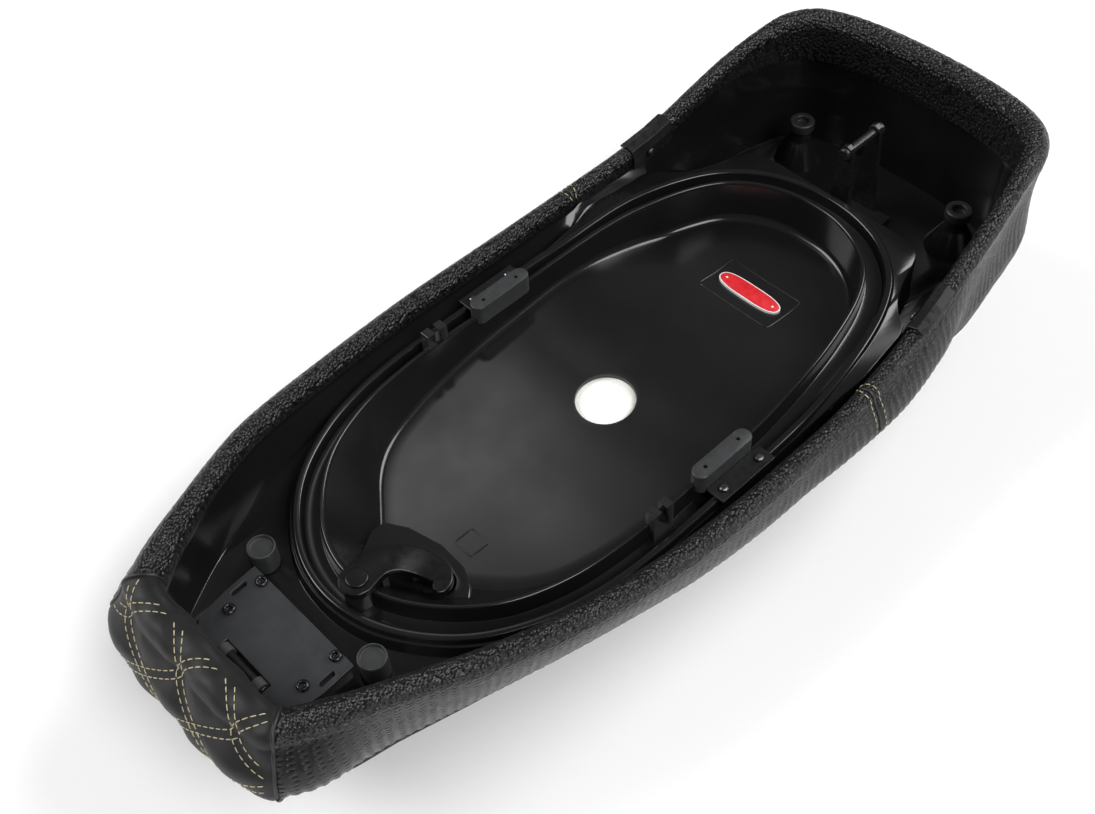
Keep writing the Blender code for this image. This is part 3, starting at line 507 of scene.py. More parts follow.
def capsules(name, centres, ways, ups, length, thick, material):
    """Many short stitches in one mesh, each a rounded bar that dips at its ends."""
    sides, points, faces = 6, [], []
    stations = ((-0.5, 0.25, -0.5), (-0.42, 0.75, -0.1), (-0.2, 1.0, 0.2), (0.2, 1.0, 0.2),
                (0.42, 0.75, -0.1), (0.5, 0.25, -0.5))
    size = sides * len(stations)
    c, d = (part[:, None] for part in circle(sides))
    for centre, way, up in zip(centres, unit(ways), ups):
        side = unit(np.cross(way, up))
        up = np.cross(side, way)
        first = sides * len(points)
        for share, girth, lift in stations:
            ring = thick * girth * (c * side + 0.8 * d * up)
            points.append(centre + way * length * share + up * thick * lift + ring)
        faces += [tuple(f) for f in sheet_faces(len(stations), sides, first, closed=True)]
        faces += [tuple(range(at, at + sides)) for at in (first, first + size - sides)]
    mesh = mesh_of(name, np.vstack(points), faces, merge=0.0005)
    return new_object(name, mesh, material, 80)


def merged(name, parts):
    """One object from several that don't touch each other."""
    made = bmesh.new()
    finish = parts[0].data.materials[0]
    for part in parts:
        made.from_mesh(part.data)
        bpy.data.objects.remove(part, do_unlink=True)
    mesh = bpy.data.meshes.new(name)
    made.to_mesh(mesh)
    made.free()
    return linked(name, mesh, finish)


def cut(target, tools, angle=35):
    """Takes the tools, which don't touch each other, away from the target."""
    other = merged("tool", tools)
    keep = target.data.materials[0]
    step = target.modifiers.new("cut", "BOOLEAN")
    step.operation, step.solver, step.object = "DIFFERENCE", "EXACT", other
    mesh = applied(target).data
    bpy.data.objects.remove(other, do_unlink=True)
    mesh.materials.clear()
    mesh.materials.append(keep)
    shaded(mesh, angle)
    return target


def soften(obj, width, segments, angle):
    """A small bevel on an object's sharp edges, applied."""
    step = obj.modifiers.new("edges", "BEVEL")
    step.width, step.segments, step.limit_method = width * 0.001, segments, "ANGLE"
    step.angle_limit = math.radians(angle)
    step.use_clamp_overlap = step.harden_normals = True
    return applied(obj)


def belongs(obj, body, slot, *nodes):
    """The piece rides on a body and stands for CAD nodes, which it hides; the slot is not used."""
    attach(obj, body)
    if nodes:
        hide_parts(*nodes)
    return obj


# ---- materials ----

class Paint:
    """A procedural material: a Principled shader with patterns for colour, gloss and relief."""

    def __init__(self, name, colour, roughness, **sockets):
        self.material = bpy.data.materials.new(name)
        self.material.use_nodes = True
        self.tree = self.material.node_tree
        self.shader = self.tree.nodes["Principled BSDF"]
        plain = {"Base_Color": (*colour, 1), "Roughness": roughness, **sockets}
        for key, value in plain.items():
            self.shader.inputs[key.replace("_", " ")].default_value = value
        self.where = self.node("ShaderNodeTexCoord")["Object"]
        self.relief = None

    def node(self, kind, settings=(), **inputs):
        """Adds a node and returns its outputs; an input is a number or another node's output."""
        made = self.tree.nodes.new(kind)
        for key, value in dict(settings).items():
            setattr(made, key, value)
        for key, value in inputs.items():
            socket = made.inputs[int(key[1:]) if key[1:].isdigit() else key.replace("_", " ")]
            self.give(socket, value)
        return made.outputs

    def give(self, socket, value):
        if isinstance(value, bpy.types.NodeSocket):
            self.tree.links.new(value, socket)
        else:
            socket.default_value = value

    def noise(self, scale, detail=3.0, rough=0.55):
        return self.node("ShaderNodeTexNoise", Vector=self.where, Scale=scale, Detail=detail,
                         Roughness=rough)["Fac"]

    def cells(self, scale):
        return self.node("ShaderNodeTexVoronoi", Vector=self.where, Scale=scale)["Distance"]

    def scales(self, wide, tall):
        """Distance from the middles of cells laid out along the seat, and the way down in cm."""
        flat = self.node("ShaderNodeUVMap", {"uv_map": "along"})["UV"]
        fall = self.node("ShaderNodeSeparateXYZ", _0=flat)["Y"]
        size = self.node("ShaderNodeVectorMath", {"operation": "MULTIPLY"}, _0=flat,
                         _1=(10 / wide, 10 / tall, 0))[0]
        return self.node("ShaderNodeTexVoronoi", {"voronoi_dimensions": "2D"}, Vector=size,
                         Scale=1.0, Randomness=0.25)["Distance"], fall

    def remap(self, value, low, high, to_low, to_high):
        return self.node("ShaderNodeMapRange", Value=value, From_Min=low, From_Max=high,
                         To_Min=to_low, To_Max=to_high)["Result"]

    def colours(self, value, *stops):
        """Base colour from a ramp of (place, colour) stops."""
        ramp = self.tree.nodes.new("ShaderNodeValToRGB")
        self.give(ramp.inputs["Fac"], value)
        for mark, (position, colour) in zip(ramp.color_ramp.elements, stops):
            mark.position, mark.color = position, (*colour, 1)
        self.give(self.shader.inputs["Base Color"], ramp.outputs["Color"])
        return ramp.outputs["Color"]

    def worn(self, base, colour, low, high):
        """Lightens exposed edges towards a colour."""
        edge = self.node("ShaderNodeNewGeometry")["Pointiness"]
        blend = self.node("ShaderNodeMix", {"data_type": "RGBA"}, _6=base, _7=(*colour, 1),
                          _0=self.remap(edge, low, high, 0.0, 1.0))
        self.give(self.shader.inputs["Base Color"], blend[2])

    def gloss(self, value, dull, shiny, high=0.7):
        self.give(self.shader.inputs["Roughness"], self.remap(value, 0.3, high, dull, shiny))

    def bump(self, height, distance_mm, strength):
        under = {"Normal": self.relief} if self.relief else {}
        self.relief = self.node("ShaderNodeBump", Height=height, Strength=strength,
                                Distance=distance_mm * 0.001, **under)["Normal"]
        self.give(self.shader.inputs["Normal"], self.relief)


def finish(name, dark, light, noise, stops, rough, gloss_noise=None, bumps=(), worn=None,
           **sockets):
    """A speckled finish; its bumps are (scale, detail, depth in mm, strength)."""
    paint = Paint(name, dark, rough[0], **sockets)
    base = paint.colours(paint.noise(*noise), (stops[0], dark), (stops[1], light))
    if worn:
        paint.worn(base, *worn)
    if gloss_noise:
        paint.gloss(paint.noise(*gloss_noise), *rough)
    for scale, detail, depth, strength in bumps:
        paint.bump(paint.noise(scale, detail), depth, strength)
    return paint.material


def base_plastic_paint():
    paint = Paint("moulded_plastic", (0.007, 0.007, 0.0075), 0.3)
    base = paint.colours(paint.noise(14.0, 4.0), (0.35, (0.0055, 0.0055, 0.006)),
                         (0.7, (0.009, 0.009, 0.0098)))
    paint.worn(base, (0.03, 0.03, 0.032), 0.54, 0.66)
    paint.gloss(paint.noise(22.0), 0.15, 0.2, high=0.75)
    paint.bump(paint.noise(7.0, 1.0), 1.0, 0.12)
    paint.bump(paint.noise(1400.0, 2.0), 0.012, 0.4)
    return paint.material


def smooth_vinyl_paint():
    paint = Paint("smooth_vinyl", (0.008, 0.008, 0.0085), 0.55, Sheen_Weight=0.03,
                  Sheen_Roughness=0.45, Specular_IOR_Level=0.35)
    paint.colours(paint.noise(25.0, 4.0), (0.3, (0.006, 0.006, 0.0065)),
                  (0.75, (0.01, 0.01, 0.011)))
    paint.gloss(paint.noise(90.0, 4.0), 0.48, 0.6)
    paint.bump(paint.cells(700.0), 0.09, 0.45)
    paint.bump(paint.noise(2600.0, 2.0), 0.03, 0.4)
    return paint.material


def grained_vinyl_paint():
    paint = Paint("embossed_vinyl", (0.009, 0.009, 0.0095), 0.36, Sheen_Weight=0.02,
                  Sheen_Roughness=0.4, Specular_IOR_Level=0.36)
    scaled, fall = paint.scales(SCALE_WIDE, SCALE_TALL)
    pits = paint.remap(scaled, 0.14, 0.36, 0.0, 0.5)
    crinkled = paint.remap(paint.cells(440.0), 0.85, 0.2, 0.0, 0.5)
    height = paint.node("ShaderNodeMix", _0=paint.remap(fall, 0.8, 1.7, 0.0, 1.0), _2=crinkled,
                        _3=pits)[0]
    # The colour follows the relief: painted shade darkens the scales' pits and the low spots of the
    # rim's crinkle.
    paint.colours(height, (0.05, (0.001, 0.001, 0.001)), (0.45, (0.008, 0.008, 0.0085)))
    paint.gloss(paint.noise(160.0, 4.0), 0.26, 0.4)
    paint.bump(height, 1.8, 1.0)
    paint.bump(paint.cells(1100.0), 0.1, 0.5)
    return paint.material


def foam_paint():
    paint = Paint("open_foam", (0.9, 0.88, 0.8), 0.95)
    # Painted shade: the foam is darker in its pores, where the cells' relief is low.
    paint.colours(paint.cells(900.0), (0.0, (0.62, 0.6, 0.52)), (0.35, (0.92, 0.91, 0.86)))
    paint.bump(paint.cells(900.0), 0.5, 0.5)
    paint.bump(paint.noise(250.0, 4.0), 0.6, 0.4)
    return paint.material


def steel_paint(name, dark, light, rough, worn=((0.12, 0.12, 0.125), 0.56, 0.68)):
    """Enamelled steel, worn at its edges unless its mesh is too coarse to show them."""
    return finish(name, dark, light, (70.0, 6.0, 0.65), (0.35, 0.7), rough, (240.0, 4.0),
                  ((420.0, 3.0, 0.05, 0.5),), worn, Metallic=0.25)


def zinc_paint(name, dark, light):
    return finish(name, dark, light, (300.0, 5.0, 0.7), (0.3, 0.7), (0.18, 0.4), (700.0, 4.0),
                  ((1200.0, 3.0, 0.03, 0.5),), Metallic=1.0)


def rubber_paint(name, dark, light, rough):
    return finish(name, dark, light, (180.0, 5.0), (0.3, 0.75), rough, (350.0, 4.0),
                  ((1500.0, 3.0, 0.05, 0.6),), (tuple(1.8 * c for c in light), 0.55, 0.66))


def label_paint(name, dark, light):
    return finish(name, dark, light, (220.0, 4.0), (0.35, 0.7), (0.25, 0.4), (500.0, 3.0),
                  ((900.0, 2.0, 0.02, 0.4),))


plastic = base_plastic_paint()
smooth_vinyl = smooth_vinyl_paint()
grained_vinyl = grained_vinyl_paint()
foam_white = foam_paint()
plate_paint = steel_paint("plate_enamel", (0.026, 0.027, 0.03), (0.042, 0.043, 0.046),
                          (0.34, 0.46), worn=None)
dark_steel = steel_paint("dark_enamel", (0.008, 0.008, 0.009), (0.015, 0.015, 0.016),
                         (0.24, 0.38))
hook_enamel = steel_paint("hook_enamel", (0.003, 0.003, 0.0033), (0.006, 0.006, 0.0065),
                          (0.26, 0.36))
zinc = zinc_paint("dark_zinc", (0.1, 0.1, 0.1), (0.24, 0.24, 0.25))
black_zinc = zinc_paint("black_zinc", (0.03, 0.03, 0.03), (0.09, 0.09, 0.095))
rubber = rubber_paint("stop_rubber", (0.012, 0.012, 0.012), (0.02, 0.02, 0.02), (0.4, 0.55))
pad_rubber = rubber_paint("pad_rubber", (0.022, 0.023, 0.024), (0.034, 0.035, 0.036), (0.4, 0.55))
nylon = rubber_paint("bush_nylon", (0.02, 0.02, 0.02), (0.035, 0.035, 0.034), (0.35, 0.5))
thread = finish("cream_thread", (0.34, 0.28, 0.14), (0.58, 0.52, 0.34), (1500.0, 3.0), (0.3, 0.7),
                (0.7,), bumps=((4200.0, 3.0, 0.12, 0.7),), Sheen_Weight=0.2)
label_red = label_paint("label_red", (0.55, 0.012, 0.02), (0.66, 0.03, 0.035))
label_white = label_paint("label_white", (0.72, 0.72, 0.7), (0.82, 0.82, 0.8))
piping_vinyl = rubber_paint("piping_vinyl", (0.006, 0.006, 0.006), (0.01, 0.01, 0.0105),
                            (0.4, 0.52))


# ---- the upholstery's skin ----

TURNS = np.arange(SKIN_COLUMNS + 1) / SKIN_COLUMNS


def seam_turn(y_wanted):
    turns = np.arange(CAD_COLUMNS // 2 + 1) / CAD_COLUMNS
    return turns[np.argmin(np.abs(rim.at(turns)[1] - y_wanted))]


NOSE_TURN, REAR_TURN = 3.5 / CAD_COLUMNS, seam_turn(SEAM_Y)


def column_at(turn):
    return int(round(turn * SKIN_COLUMNS))


def signed_runs(grid, row):
    """Distance round the seat from the nose's middle, negative on the -X side."""
    runs = travelled(grid[row])
    return np.where(TURNS <= 0.5, runs, runs - runs[-1])


def simulate_skin(rest, pins, slack):
    """Cloth blown up by pressure between its seams, from rest, as displacements in mm."""
    rows, columns = rest.shape[0], rest.shape[1] - 1
    mesh = bpy.data.meshes.new("cloth")
    mesh.from_pydata(place(rest[:, :-1].reshape(-1, 3)).tolist(), [],
                     sheet_faces(rows, columns, flip=True, closed=True).tolist())
    cloth = linked("cloth", mesh)
    for name, weights in (("pin", pins), ("slack", slack)):
        group = cloth.vertex_groups.new(name=name)
        flat = np.round(weights[:, :-1].ravel(), 2)
        for level in np.unique(flat[flat > 0]):
            group.add(np.nonzero(flat == level)[0].tolist(), float(level), "REPLACE")
    step = cloth.modifiers.new("cloth", "CLOTH")
    step.collision_settings.use_collision = False
    settings = step.settings
    for key, value in (
            ("quality", 6), ("mass", 0.3), ("tension_stiffness", 12.0),
            ("compression_stiffness", 12.0), ("shear_stiffness", 8.0),
            ("bending_stiffness", 0.6), ("tension_damping", 8.0), ("compression_damping", 8.0),
            ("air_damping", 4.0), ("vertex_group_mass", "pin"), ("pin_stiffness", 2.0),
            ("vertex_group_shrink", "slack"), ("shrink_min", 0.0), ("shrink_max", -0.05),
            ("use_pressure", True), ("uniform_pressure_force", 4.0)):
        setattr(settings, key, value)
    settings.effector_weights.gravity = 0.0
    scene = bpy.context.scene
    scene.frame_start, scene.frame_end = 1, CLOTH_FRAMES
    step.point_cache.frame_start, step.point_cache.frame_end = 1, CLOTH_FRAMES
    for number in range(1, CLOTH_FRAMES + 1):
        scene.frame_set(number)
    done = cloth.evaluated_get(bpy.context.evaluated_depsgraph_get()).to_mesh()
    co = np.empty(len(done.vertices) * 3, np.float32)
    done.vertices.foreach_get("co", co)
    moved = co.reshape(rows, columns, 3) * 1000.0 + (0.0, Y_MID, Z_FLOOR)
    scene.frame_set(1)
    bpy.data.objects.remove(cloth, do_unlink=True)
    return np.concatenate((moved, moved[:, :1]), axis=1) - rest


def capped(shift, most):
    """Shortens displacements smoothly, so that none is longer than most."""
    return unit(shift) * most * np.tanh(np.linalg.norm(shift, axis=2, keepdims=True) / most)


def puffed_skin():
    """The skin with its padding's swell between seams and quilting lines."""
    rest = skin_rows(TURNS)
    upper = rest[:SEAM_ROW + 1]
    top_row = FOLD_ROWS + ROLL_ROWS // 2
    s = signed_runs(rest, top_row)[None, :]
    t = measures(rest, top_row)
    nose = (np.abs(s) < abs(s[0, int(NOSE_TURN * SKIN_COLUMNS)]) + 0.5)
    quilt = quilt_distance(s, t)
    sides_pin = 0.93 - 0.25 * smooth((rest[top_row, :, 1] - 430) / 60)[None, :]
    pins = np.where(nose, np.where(quilt < 2.9, 1.0, 0.0), sides_pin)
    pins = np.broadcast_to(pins, rest.shape[:2])[:SEAM_ROW + 1].copy()
    pins[:FOLD_ROWS] = 1.0
    pins[-1] = 1.0
    for turn in (NOSE_TURN, REAR_TURN, 1 - REAR_TURN, 1 - NOSE_TURN):
        pins[:, column_at(turn)] = 1.0
    slack = np.zeros_like(pins)
    slack[FOLD_ROWS:, :] = 0.35 + 0.65 * smooth((rest[top_row, :, 1] - 420) / 60)
    swell = smooth((quilt - 1.0) / 10) * 2.6 * nose
    swell = np.broadcast_to(swell, rest.shape[:2])[:SEAM_ROW + 1].copy()
    swell[:FOLD_ROWS] = 0
    shift = swell[..., None] * grid_normals(upper)
    shift = shift + simulate_skin(upper + shift, pins, slack)
    shift = capped(shift, SWELL_MOST)
    made = rest.copy()
    made[:SEAM_ROW + 1] += shift
    return rest, made, s[0], t


rest_skin, skin, around, down = puffed_skin()


def wrapped(grid, columns):
    """Columns by number, which may run below 0, from a grid whose last repeats its first."""
    return np.take(grid, np.asarray(columns) % SKIN_COLUMNS, axis=1)


def even_steps(runs, first, last, step):
    """Fractional numbers from first to last that lie about a step apart along the runs."""
    count = max(6, int((runs[last] - runs[first]) / step))
    return np.interp(np.linspace(runs[first], runs[last], count), runs, np.arange(len(runs)))


def cover_panel(name, first, last, rows, material, relief):
    """A panel between two turns and two rows, with relief(s, t, y) along its normals."""
    a, b = column_at(first), column_at(last)
    numbers = np.arange(a - 2, b + 3)
    low = max(rows[0] - 2, 0)
    high = min(rows[1] + 2, skin.shape[0] - 1)
    part = wrapped(skin, numbers)[low:high + 1]
    runs = travelled(wrapped(rest_skin, numbers)[FOLD_ROWS + ROLL_ROWS])
    s_line = runs - runs[2] + around[a % SKIN_COLUMNS]
    columns = even_steps(runs, 2, len(runs) - 3, CELL_MM)
    fall = travelled(part[:, part.shape[1] // 2])
    lines = even_steps(fall, rows[0] - low, rows[1] - low, CELL_MM)
    outer = resample(part, lines, columns)
    s = resample(s_line[None, :].repeat(2, axis=0), np.zeros(1), columns)
    t = resample(wrapped(down, numbers)[low:high + 1], lines, columns)
    normals = grid_normals(outer)
    edge = edge_distance(outer)
    lift = relief(s, t, outer[..., 1]) * smooth(edge / 4.0) - 1.1 * (1 - smooth(edge / 3.0))
    shaped = outer + lift[..., None] * normals
    inner = outer - (SKIN - 0.2) * normals
    return shell(name, shaped, inner, material, s, t)


def edge_distance(grid):
    """Rough distance in mm of each point of a grid from its nearest border."""
    inward = []
    for axis, count in enumerate(grid.shape[:2]):
        step = np.linalg.norm(np.diff(grid, axis=axis), axis=2).mean()
        inward.append(np.minimum(np.arange(count), np.arange(count)[::-1]) * step)
    return np.minimum(inward[0][:, None], inward[1][None, :])


def creases(s, t, y):
    """Shallow gathers where the vinyl is pulled over the rim, deeper round the tail."""
    tail = smooth((y - 400) / 80)
    on_rim = np.exp(-((t + 2) / 11) ** 2)
    pull = np.abs(np.sin(s * 0.33 + 1.6 * wander(s, t * 0.3, 2.0)))
    return -(0.12 + 0.6 * tail) * on_rim * pull ** 6 * (0.6 + 0.4 * wander(s * 1.7, t, 5.0))


def embossed(s, t, y):
    blend = smooth((t - 9) / 14)
    rough = 0.1 * wander(s * 2.1, t * 2.3, 1.0) + 0.08 * wander(s * 7.3, t * 6.1, 4.0)
    return mix(rough, 0.4 * columns(s, t) + 0.3 * rough, blend) + creases(s, t, y)


def plain(s, t, y):
    return 0.15 * wander(s * 0.6, t * 0.6, 3.0)


def quilted_top(s, t):
    return 1.6 * smooth(quilt_distance(s, t) / 9) - 1.0


def make_covers():
    sides = (("nose", "nose_panel", -NOSE_TURN, NOSE_TURN),
             ("flank_right", "side_right", NOSE_TURN, REAR_TURN),
             ("flank_left", "side_left", 1 - REAR_TURN, 1 - NOSE_TURN),
             ("tail", "tail_panel", REAR_TURN, 1 - REAR_TURN))
    for name, node, first, last in sides:
        vinyl, relief, slot = grained_vinyl, embossed, "grained_vinyl"
        if name == "nose":
            vinyl, relief, slot = smooth_vinyl, plain, "quilted_vinyl"
        obj = cover_panel(f"cover_{name}", first, last, (0, SEAM_ROW), vinyl, relief)
        belongs(obj, "saddle", slot, f"cover_{node}")
    for name, first, last in (("rider", -REAR_TURN, REAR_TURN),
                              ("pillion", REAR_TURN, 1 - REAR_TURN)):
        numbers = np.arange(column_at(first), column_at(last) + 1)
        outer = wrapped(skin, numbers)[SEAM_ROW:]
        normals = grid_normals(outer)
        normals[-1] = (0.0, 0.0, -1.0)
        s, t = wrapped(around[None, :], numbers), wrapped(down, numbers)[SEAM_ROW:]
        inward = smooth(np.arange(len(outer)) / 4.0)
        lift = quilted_top(s, t) * 0.8 * (inward * inward[::-1])[:, None]
        lift[-1] = 0.0
        shaped = outer + lift[..., None] * normals
        shaped[..., 2] = np.maximum(shaped[..., 2], Z_FLOOR)
        inner = outer - (SKIN - 0.2) * normals
        shaped[-1, :, 0] = inner[-1, :, 0] = 0.0
        obj = shell(f"cover_{name}_seat", shaped, inner, smooth_vinyl, s, t, open_end=True)
        belongs(obj, "saddle", "quilted_vinyl", f"cover_{name}_top")


def surface_point(turn_index, row):
    """Point and outward normal of the finished skin at fractional column and row numbers."""
    numbers = math.floor(turn_index) + np.arange(-1, 3)
    low = int(np.clip(math.floor(row) - 1, 0, skin.shape[0] - 4))
    part = wrapped(skin, numbers)[low:low + 4]
    across = turn_index - numbers[0]
    at, beside, below = (
        resample(part, np.array([row - low + more_down]), np.array([across + more_across]))[0, 0]
        for more_down, more_across in ((0, 0), (0, 0.3), (0.3, 0)))
    return at, unit(np.cross(below - at, beside - at))


def on_skin(s, t):
    """Column and row numbers of the place at s round the seat and t down from the rim's top."""
    order = np.argsort(around[:-1])
    column = np.interp(s, around[:-1][order],
                       np.where(TURNS[:-1] <= 0.5, 0, -SKIN_COLUMNS)[order]
                       + np.arange(SKIN_COLUMNS)[order])
    fall = wrapped(down, np.array([int(round(column))]))[:, 0]
    return column, np.interp(t, fall, np.arange(len(fall)))


def stitch_line(places):
    """Stitches along a line of (s, t) places, as centres, ways and normals."""
    spots = np.array([surface_point(*on_skin(s, t)) for s, t in places])
    runs = travelled(spots[:, 0])
    middles = np.arange(STITCH_PITCH / 2, runs[-1], STITCH_PITCH)

    def read(kind, at):
        return np.column_stack([np.interp(at, runs, spots[:, kind, i]) for i in range(3)])

    return read(0, middles), read(0, middles + 0.5) - read(0, middles - 0.5), read(1, middles)


def double_line(places, apart):
    """Two lines of places, each half of apart to one side of the given one."""
    way = unit(np.gradient(places, axis=0))
    across = np.column_stack((-way[:, 1], way[:, 0])) * apart / 2
    return places + across, places - across


def make_stitches():
    """The double rows on the nose's quilting and beside the rear seams."""
    groups = []
    limit = abs(around[column_at(NOSE_TURN)]) - 3.0
    depth = np.arange(-6.0, down[SEAM_ROW, 0] - 3.0, 0.8)
    for way in (-1, 1):
        for k in range(-6, 7):
            s = QUILT_SHIFT + QUILT_PITCH * k + way * quilt_offset(depth)
            for line in double_line(np.column_stack((s, depth)), DOUBLE_ROW):
                inside = (np.abs(line[:, 0]) < limit) & (line[:, 1] > -2.5)
                for run in np.split(np.arange(len(line)), np.nonzero(np.diff(inside))[0] + 1):
                    if inside[run[0]] and len(run) > 6:
                        groups.append(stitch_line(line[run]))
    seam = column_at(REAR_TURN)
    fall = np.arange(-9.0, down[SEAM_ROW, seam] - 4.0, 1.0)
    spread = SEAM_ROWS / 2 * mix(0.35, 1.0, smooth((fall + 11) / 13))
    for side, _ in SIDES:
        for apart in (-spread, spread):
            s_line = around[seam] * side + apart
            groups.append(stitch_line(np.column_stack((s_line, fall))))
    centres, ways, ups = (np.vstack(part) for part in zip(*groups))
    obj = capsules("seam_stitches", centres + 0.12 * ups, ways, ups, STITCH_LENGTH,
                   STITCH_R, thread)
    belongs(obj, "saddle", "quilted_vinyl")


def make_piping():
    """Welts along the lower seam, and folded seams between the side panels."""
    normals = grid_normals(skin)
    line = (skin + 0.35 * normals)[SEAM_ROW, :-1]
    belongs(tube("lower_piping", line, 1.9, piping_vinyl, closed=True), "saddle",
            "quilted_vinyl")
    for end, turn, first, sunk, radius, slot in (
            ("nose", NOSE_TURN, 3, 0.7, 1.2, "quilted_vinyl"),
            ("rear", REAR_TURN, 1, 0.9, 1.1, "grained_vinyl")):
        for word, at in (("right", turn), ("left", 1 - turn)):
            line = (skin - sunk * normals)[first:SEAM_ROW, column_at(at)]
            belongs(tube(f"{end}_seam_{word}", line, radius, piping_vinyl, sides=8), "saddle",
                    slot)


make_covers()
make_stitches()
make_piping()


# ---- the moulded base ----

def floor_ring(turn, share, drop=0.0):
    lx, ly = lip.at(turn)
    reach = np.hypot(lx, ly - CENTRE_Y)
    fx, fy = lip.off(turn, -along(TUB_WALL, ly))
    x = mix(lx / reach * HOLE_R, fx, share)
    y = mix(CENTRE_Y + (ly - CENTRE_Y) / reach * HOLE_R, fy, share)
    return joined((x, y), floor_z(x, y) - drop)


def level_rings(turn, *specs):
    """Rings at a distance off an outline and at a level, which may be a function of y."""
    rings = []
    for outline, off, z in specs:
        x, y = outline.off(turn, off)
        rings.append(joined((x, y), z(y) if callable(z) else z))
    return rings


def raised(level, rise):
    return lambda y: level(y) + rise


def tub_foot(turn):
    """Width of the tub's wall and the level of its foot."""
    return along(TUB_WALL, lip.at(turn)[1]), floor_ring(turn, 1)[..., 2]


def rim_foot(turn):
    """How far inside the rim the base's outer face stands, and the levels of its foot and crest."""
    roll, top = rim_roll(turn), rim_top(turn)
    foot_y = rim.off(turn, -roll - 3.5)[1]
    shoulder = np.maximum(top - fold_depth(turn) - 4.0, gutter_z(foot_y) + 2.0)
    return SKIN + GAP - roll, shoulder, top - roll


def under_rings(turn, drop=0.0):
    """Underside of the base from the rim's foot to the hole; with a drop, the foam's top."""
    width, low = tub_foot(turn)
    under = WALL + drop

    def gutter_under(y):
        if not drop:
            return gutter_z(y) - WALL
        near = [line.at(turn)[1] + step for line in (rim, sill) for step in (-32, 0, 32)]
        return np.min([gutter_z(at) for at in near], axis=0) - WALL - 2 * drop

    return [*level_rings(turn,
                         (rim, drop - 0.3 - rim_roll(turn), gutter_under),
                         (sill, -1.9 - drop, gutter_under),
                         (sill, -2.6 - drop, raised(land_z, -WALL - 4 * drop)),
                         (ridge, 2 * drop, raised(groove_z, -WALL - 2 * drop)),
                         (lip, 0.4 + drop, raised(groove_z, -under)),
                         (lip, drop + 6.0 - width, low - 0.8 - drop),
                         (lip, 1.0 - width, low - under)),
            *(floor_ring(turn, share, under) for share in (0.93, 0.75, 0.5, 0.25, 0))]


def kept_inside(turn, outer, step, edge, least=1.0):
    """Moves a step's two rings inward wherever they would come too close to the outer ring."""
    way = np.stack(rim.off(turn, 1.0), axis=-1) - np.stack(rim.at(turn), axis=-1)
    gap = ((outer - edge)[:, :2] * way).sum(axis=1)
    shift = np.maximum(least - gap, 0.0)[:, None] * np.column_stack((way, 0 * turn))
    return step - shift, edge - shift


def base_rings(turn):
    """The base's section, from the hole over the lip, the ridge and the rim and back below."""
    width, low = tub_foot(turn)
    face, shoulder, crest = rim_foot(turn)
    floor = [floor_ring(turn, share) for share in FLOOR_SHARES]
    gutter, land, sill_foot = level_rings(turn, (rim, -rim_roll(turn) - 3.5, gutter_z),
                                          (sill, 0.0, land_z), (sill, 1.4, gutter_z))
    under = under_rings(turn)
    under[0][:, 2] = np.minimum(under[0][:, 2], gutter[:, 2] - WALL)
    return [*floor,
            *level_rings(turn,
                         (lip, 2.2 - width, low + 1.0), (lip, 4.0 - width, low + 3.8),
                         (lip, -1.7, raised(lip_z, -1.4)), (lip, -0.9, lip_z),
                         (lip, 0.9, lip_z), (lip, 1.6, raised(lip_z, -1.2)),
                         (lip, 2.4, groove_z), (ridge, -3.6, groove_z),
                         (ridge, -2.5, raised(ridge_z, -0.8)), (ridge, -1.6, ridge_z),
                         (ridge, 1.6, ridge_z), (ridge, 2.5, raised(ridge_z, -0.8)),
                         (ridge, 3.2, land_z)),
            *kept_inside(turn, gutter, land, sill_foot), gutter,
            *level_rings(turn,
                         (rim, face, shoulder), (rim, face, crest),
                         (rim, face + 0.9, crest + 1.9), (rim, face + WALL, crest + 2.3),
                         (rim, face + WALL, shoulder - 1.5)),
            *under]


def filleted(rings, radius, skip):
    """Rings with every corner between them softened, after the first few."""
    made = list(rings[:skip + 1])
    for a, b, c in zip(rings[skip:], rings[skip + 1:], rings[skip + 2:]):
        sizes = [np.linalg.norm(end - b, axis=1, keepdims=True) for end in (a, c)]
        reach = np.minimum(radius, 0.4 * np.minimum(*sizes))
        p, q = (b + (end - b) * reach / np.maximum(size, 1e-6)
                for end, size in zip((a, c), sizes))
        made += [p, 0.25 * p + 0.5 * b + 0.25 * q, q]
    return made + [rings[-1]]


def plate_top(x, y):
    return PLATE_Z + PLATE_SLOPE * (y - PLATE_Y)


def badge_level(y):
    return mix(floor_z(0.0, 345.0), floor_z(0.0, 380.0), (y - 345) / 35) + 0.8


def mirrored(half):
    """An outline from the points of its right half, listed from the nose end."""
    return [(-x, y) for x, y in half[::-1]] + list(half)


def make_hook_bay():
    """The raised land round the hook, with its pocket and hub."""
    c, d = circle(48)
    u, v = 19.5 * c, 13.5 * d
    pocket = np.column_stack((28.5 + 0.62 * u - 0.78 * v, 52.5 + 0.78 * u + 0.62 * v))
    land = prism("surround", SURROUND, -32.5, -12.0, plastic, 1.6)
    cut(land, [prism("pocket", pocket, -26.0, 4.0, plastic)])
    hub = turned("hub", (32.5, 50.5, 0), ((0, -27), (4.8, -27), (4.4, -17), (2.2, -17),
                                          (2.0, -23), (0, -23)), plastic)
    column = turned("hook_column", (*HOOK_AT, 0), ((9.5, -14.5), (9, HOOK_Z - GAP)), plastic)
    return [land, hub, column]


def make_deck():
    """The platform under the hinge plate, with the gap for the hinge."""
    deck = prism("deck", mirrored(((38, -56), (43.5, -52), (43.5, -10.5))), GUTTER_Z - 1.5,
                 lambda x, y: plate_top(x, y) - PLATE_T - GAP, plastic, 0.4)
    return cut(deck, [box("hinge_gap", -20.5, 20.5, -62, -46.5, -16.4, 2.0, plastic)])


